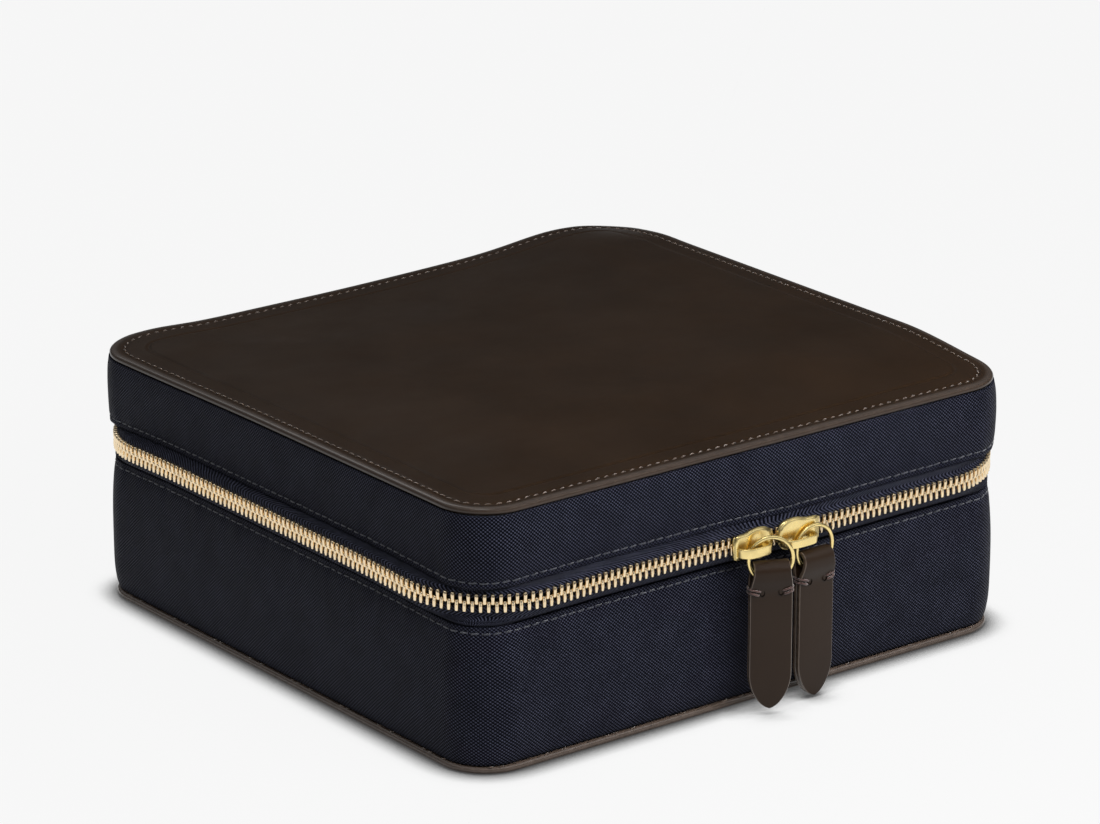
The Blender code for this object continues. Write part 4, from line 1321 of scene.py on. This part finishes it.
def ring_rolls():
    """Six foam rolls wrapped in suede. One is inflated as cloth, and the others are copies of it."""
    low, high = box_mm("ring_roll_1")
    points, faces, _ = capped(roll_rings(low, high))
    first = mesh_piece("ring_roll_1_foam", points, faces, "suede")
    slack = np.array((0.0, 0.08, 0.0))
    puffed(first, 3.0, 2.0, low + slack, high - slack)
    rolls = [first]
    for number in range(2, 7):
        own_low, own_high = box_mm(f"ring_roll_{number}")
        roll = first.copy()
        roll.data = first.data.copy()
        roll.name = f"ring_roll_{number}_foam"
        bpy.context.collection.objects.link(roll)
        moved = Vector((0, ((own_low[1] + own_high[1]) / 2 - (low[1] + high[1]) / 2) * MM, 0))
        for vert in roll.data.vertices:
            vert.co += moved
        rolls.append(roll)
    for number, roll in enumerate(rolls, 1):
        finish_piece(roll, "tray", "suede_lining", f"ring_roll_{number}")


def tray_tabs():
    """A leather tab on each side of the tray, round at its top and sewn along its foot."""
    for side, sign in (("left", -1), ("right", 1)):
        low, high = box_mm(f"tray_tab_{side}")
        middle = (low[1] + high[1]) / 2
        half = (high[1] - low[1]) / 2
        turn = np.radians(np.linspace(0, 180, 12))
        rise = half * 0.55
        outline = [(middle + half * math.cos(a), high[2] - rise + rise * math.sin(a)) for a in turn]
        outline += [(middle - half, low[2] + 1), (middle - half + 1, low[2])]
        outline += [(middle + half - 1, low[2]), (middle + half, low[2] + 1)]
        profile = ((0.5, low[0]), (0.0, low[0] + 0.3), (0.0, high[0] - 0.3), (0.5, high[0]))
        rings = [np.insert(inset(np.array(outline), inward), 0, x, axis=1) for inward, x in profile]
        points, faces, _ = capped(np.array(rings))
        edge = np.repeat((0.2, 1.0, 1.0, 0.2), len(outline))
        piece = mesh_piece(f"tray_tab_{side}_leather", points, faces, "leather", edge=edge)
        finish_piece(piece, "tray", "brown_leather", f"tray_tab_{side}")
        face_x = low[0] if sign > 0 else high[0]
        foot = np.linspace(middle - half + 2, middle + half - 2, 12)
        seam = np.column_stack((np.full(12, face_x), foot, np.full(12, low[2] + 3.0)))
        inward = np.broadcast_to((-sign, 0.0, 0.0), seam.shape)
        sew(f"tray_tab_{side}_stitches", "tray", "brown_leather", TAB_SEAM, seam, inward, False)


def inside():
    """All that shows when the lid opens."""
    linings()
    for node in ("well_divider_long", "well_divider_left", "well_divider_right"):
        wrapped_board(node, "case")
    pad("floor_foam", "case", "floor_pad")
    pad("lid_foam", "lid", "lid_pad")
    lid_pocket()
    tray()
    for node in ("base_board", "body_wall_board", "lid_board", "lid_wall_board"):
        for slot_place in frame["nodes"][node].material_slots:
            slot_place.material = FINISH["board"]


# ---- Floor, lights and camera ----

CAMERA_AZIMUTH = -37.535
CAMERA_ELEVATION = 18.963
CAMERA_DISTANCE = 1564.0
CAMERA_AIM = (-40.59, -54.08, 91.63)
CAMERA_LENS = 161.9
CONTACT_REACH = 12.0  # how far from the case its contact shadow reaches


def floor():
    """A pale floor that glows evenly, and darkens close round the case as under soft light from all sides."""
    bpy.ops.mesh.primitive_plane_add(size=16.0)
    plane = bpy.context.object
    plane.name = "studio_floor"
    made = bpy.data.materials.new("studio_floor")
    made.use_nodes = True
    nodes, links = made.node_tree.nodes, made.node_tree.links
    nodes.clear()
    contact = nodes.new("ShaderNodeAmbientOcclusion")
    contact.inputs["Distance"].default_value = CONTACT_REACH * MM
    contact.samples = 8
    shade = nodes.new("ShaderNodeMapRange")
    shade.interpolation_type = "SMOOTHSTEP"
    set_range(shade, 0.45, 0.93, 0.08, 1.0)
    links.new(contact.outputs["AO"], shade.inputs["Value"])
    glow = nodes.new("ShaderNodeEmission")
    glow.inputs["Color"].default_value = (0.908, 0.908, 0.908, 1.0)
    links.new(shade.outputs["Result"], glow.inputs["Strength"])
    matt = nodes.new("ShaderNodeBsdfDiffuse")
    matt.inputs["Color"].default_value = (0.02, 0.02, 0.02, 1.0)
    add = nodes.new("ShaderNodeAddShader")
    links.new(glow.outputs[0], add.inputs[0])
    links.new(matt.outputs[0], add.inputs[1])
    links.new(add.outputs[0], nodes.new("ShaderNodeOutputMaterial").inputs["Surface"])
    plane.data.materials.append(made)


def sky(tree):
    """A studio lit from above: dim near the horizon, and brighter overhead."""
    split = tree.nodes.new("ShaderNodeSeparateXYZ")
    tree.links.new(tree.nodes.new("ShaderNodeTexCoord").outputs["Generated"], split.inputs[0])
    ramp = tree.nodes.new("ShaderNodeMapRange")
    ramp.interpolation_type = "SMOOTHSTEP"
    set_range(ramp, 0.25, 0.85, 0.12, 0.76)
    tree.links.new(split.outputs[2], ramp.inputs["Value"])
    background = tree.nodes["Background"]
    tree.links.new(ramp.outputs["Result"], background.inputs["Strength"])
    background.inputs["Color"].default_value = (0.98, 0.99, 1.0, 1.0)


def aim(made, target):
    """Turns a lamp or camera to face a target."""
    direction = Vector(target) - made.location
    made.rotation_euler = direction.to_track_quat("-Z", "Y").to_euler()


def softbox(name, place, target, power, size, mirrored=True):
    """A rectangular lamp, which gloss mirrors or leaves out."""
    light = bpy.data.lights.new(name, "AREA")
    light.energy = power
    light.shape = "RECTANGLE"
    light.size, light.size_y = size
    made = bpy.data.objects.new(name, light)
    bpy.context.collection.objects.link(made)
    made.location = place
    made.visible_glossy = mirrored
    aim(made, target)


def studio():
    """The floor, the light and the camera."""
    floor()
    scene = bpy.context.scene
    scene.view_settings.view_transform = "Standard"
    scene.world = bpy.data.worlds.new("studio")
    scene.world.use_nodes = True
    sky(scene.world.node_tree)
    softbox("softbox_front", (0.03, -0.42, 0.34), (0, -0.1, 0.07), 3.4, (0.5, 0.15), False)
    softbox("softbox_right", (1.0, -1.0, 0.9), (0, 0, 0.06), 1.2, (0.6, 0.9))
    softbox("softbox_top", (-0.12, 0.0, 1.2), (-0.1, -0.1, 0.09), 1.5, (0.3, 0.3))
    softbox("softbox_back", (0.3, 1.2, 1.2), (0, 0, 0.06), 2.2, (0.8, 0.6))
    turn, tilt = math.radians(CAMERA_AZIMUTH), math.radians(CAMERA_ELEVATION)
    away = Vector((math.sin(turn) * math.cos(tilt), -math.cos(turn) * math.cos(tilt), math.sin(tilt)))
    view = bpy.data.cameras.new("camera")
    view.lens = CAMERA_LENS
    view.sensor_width = 36.0
    view.clip_end = 50.0
    camera = bpy.data.objects.new("camera", view)
    bpy.context.collection.objects.link(camera)
    target = Vector(CAMERA_AIM) * MM
    camera.location = target + away * CAMERA_DISTANCE * MM
    aim(camera, target)
    scene.camera = camera


fabric_walls()
lid_leather()
base_leather()
tapes()
teeth("lower_teeth", "case", "lower_zip_teeth", -1)
teeth("upper_teeth", "lid", "upper_zip_teeth", 1)
stops()
for side in ("left", "right"):
    slider(side)
    ring(side)
    puller(side)
hinge_gusset()
inside()
studio()
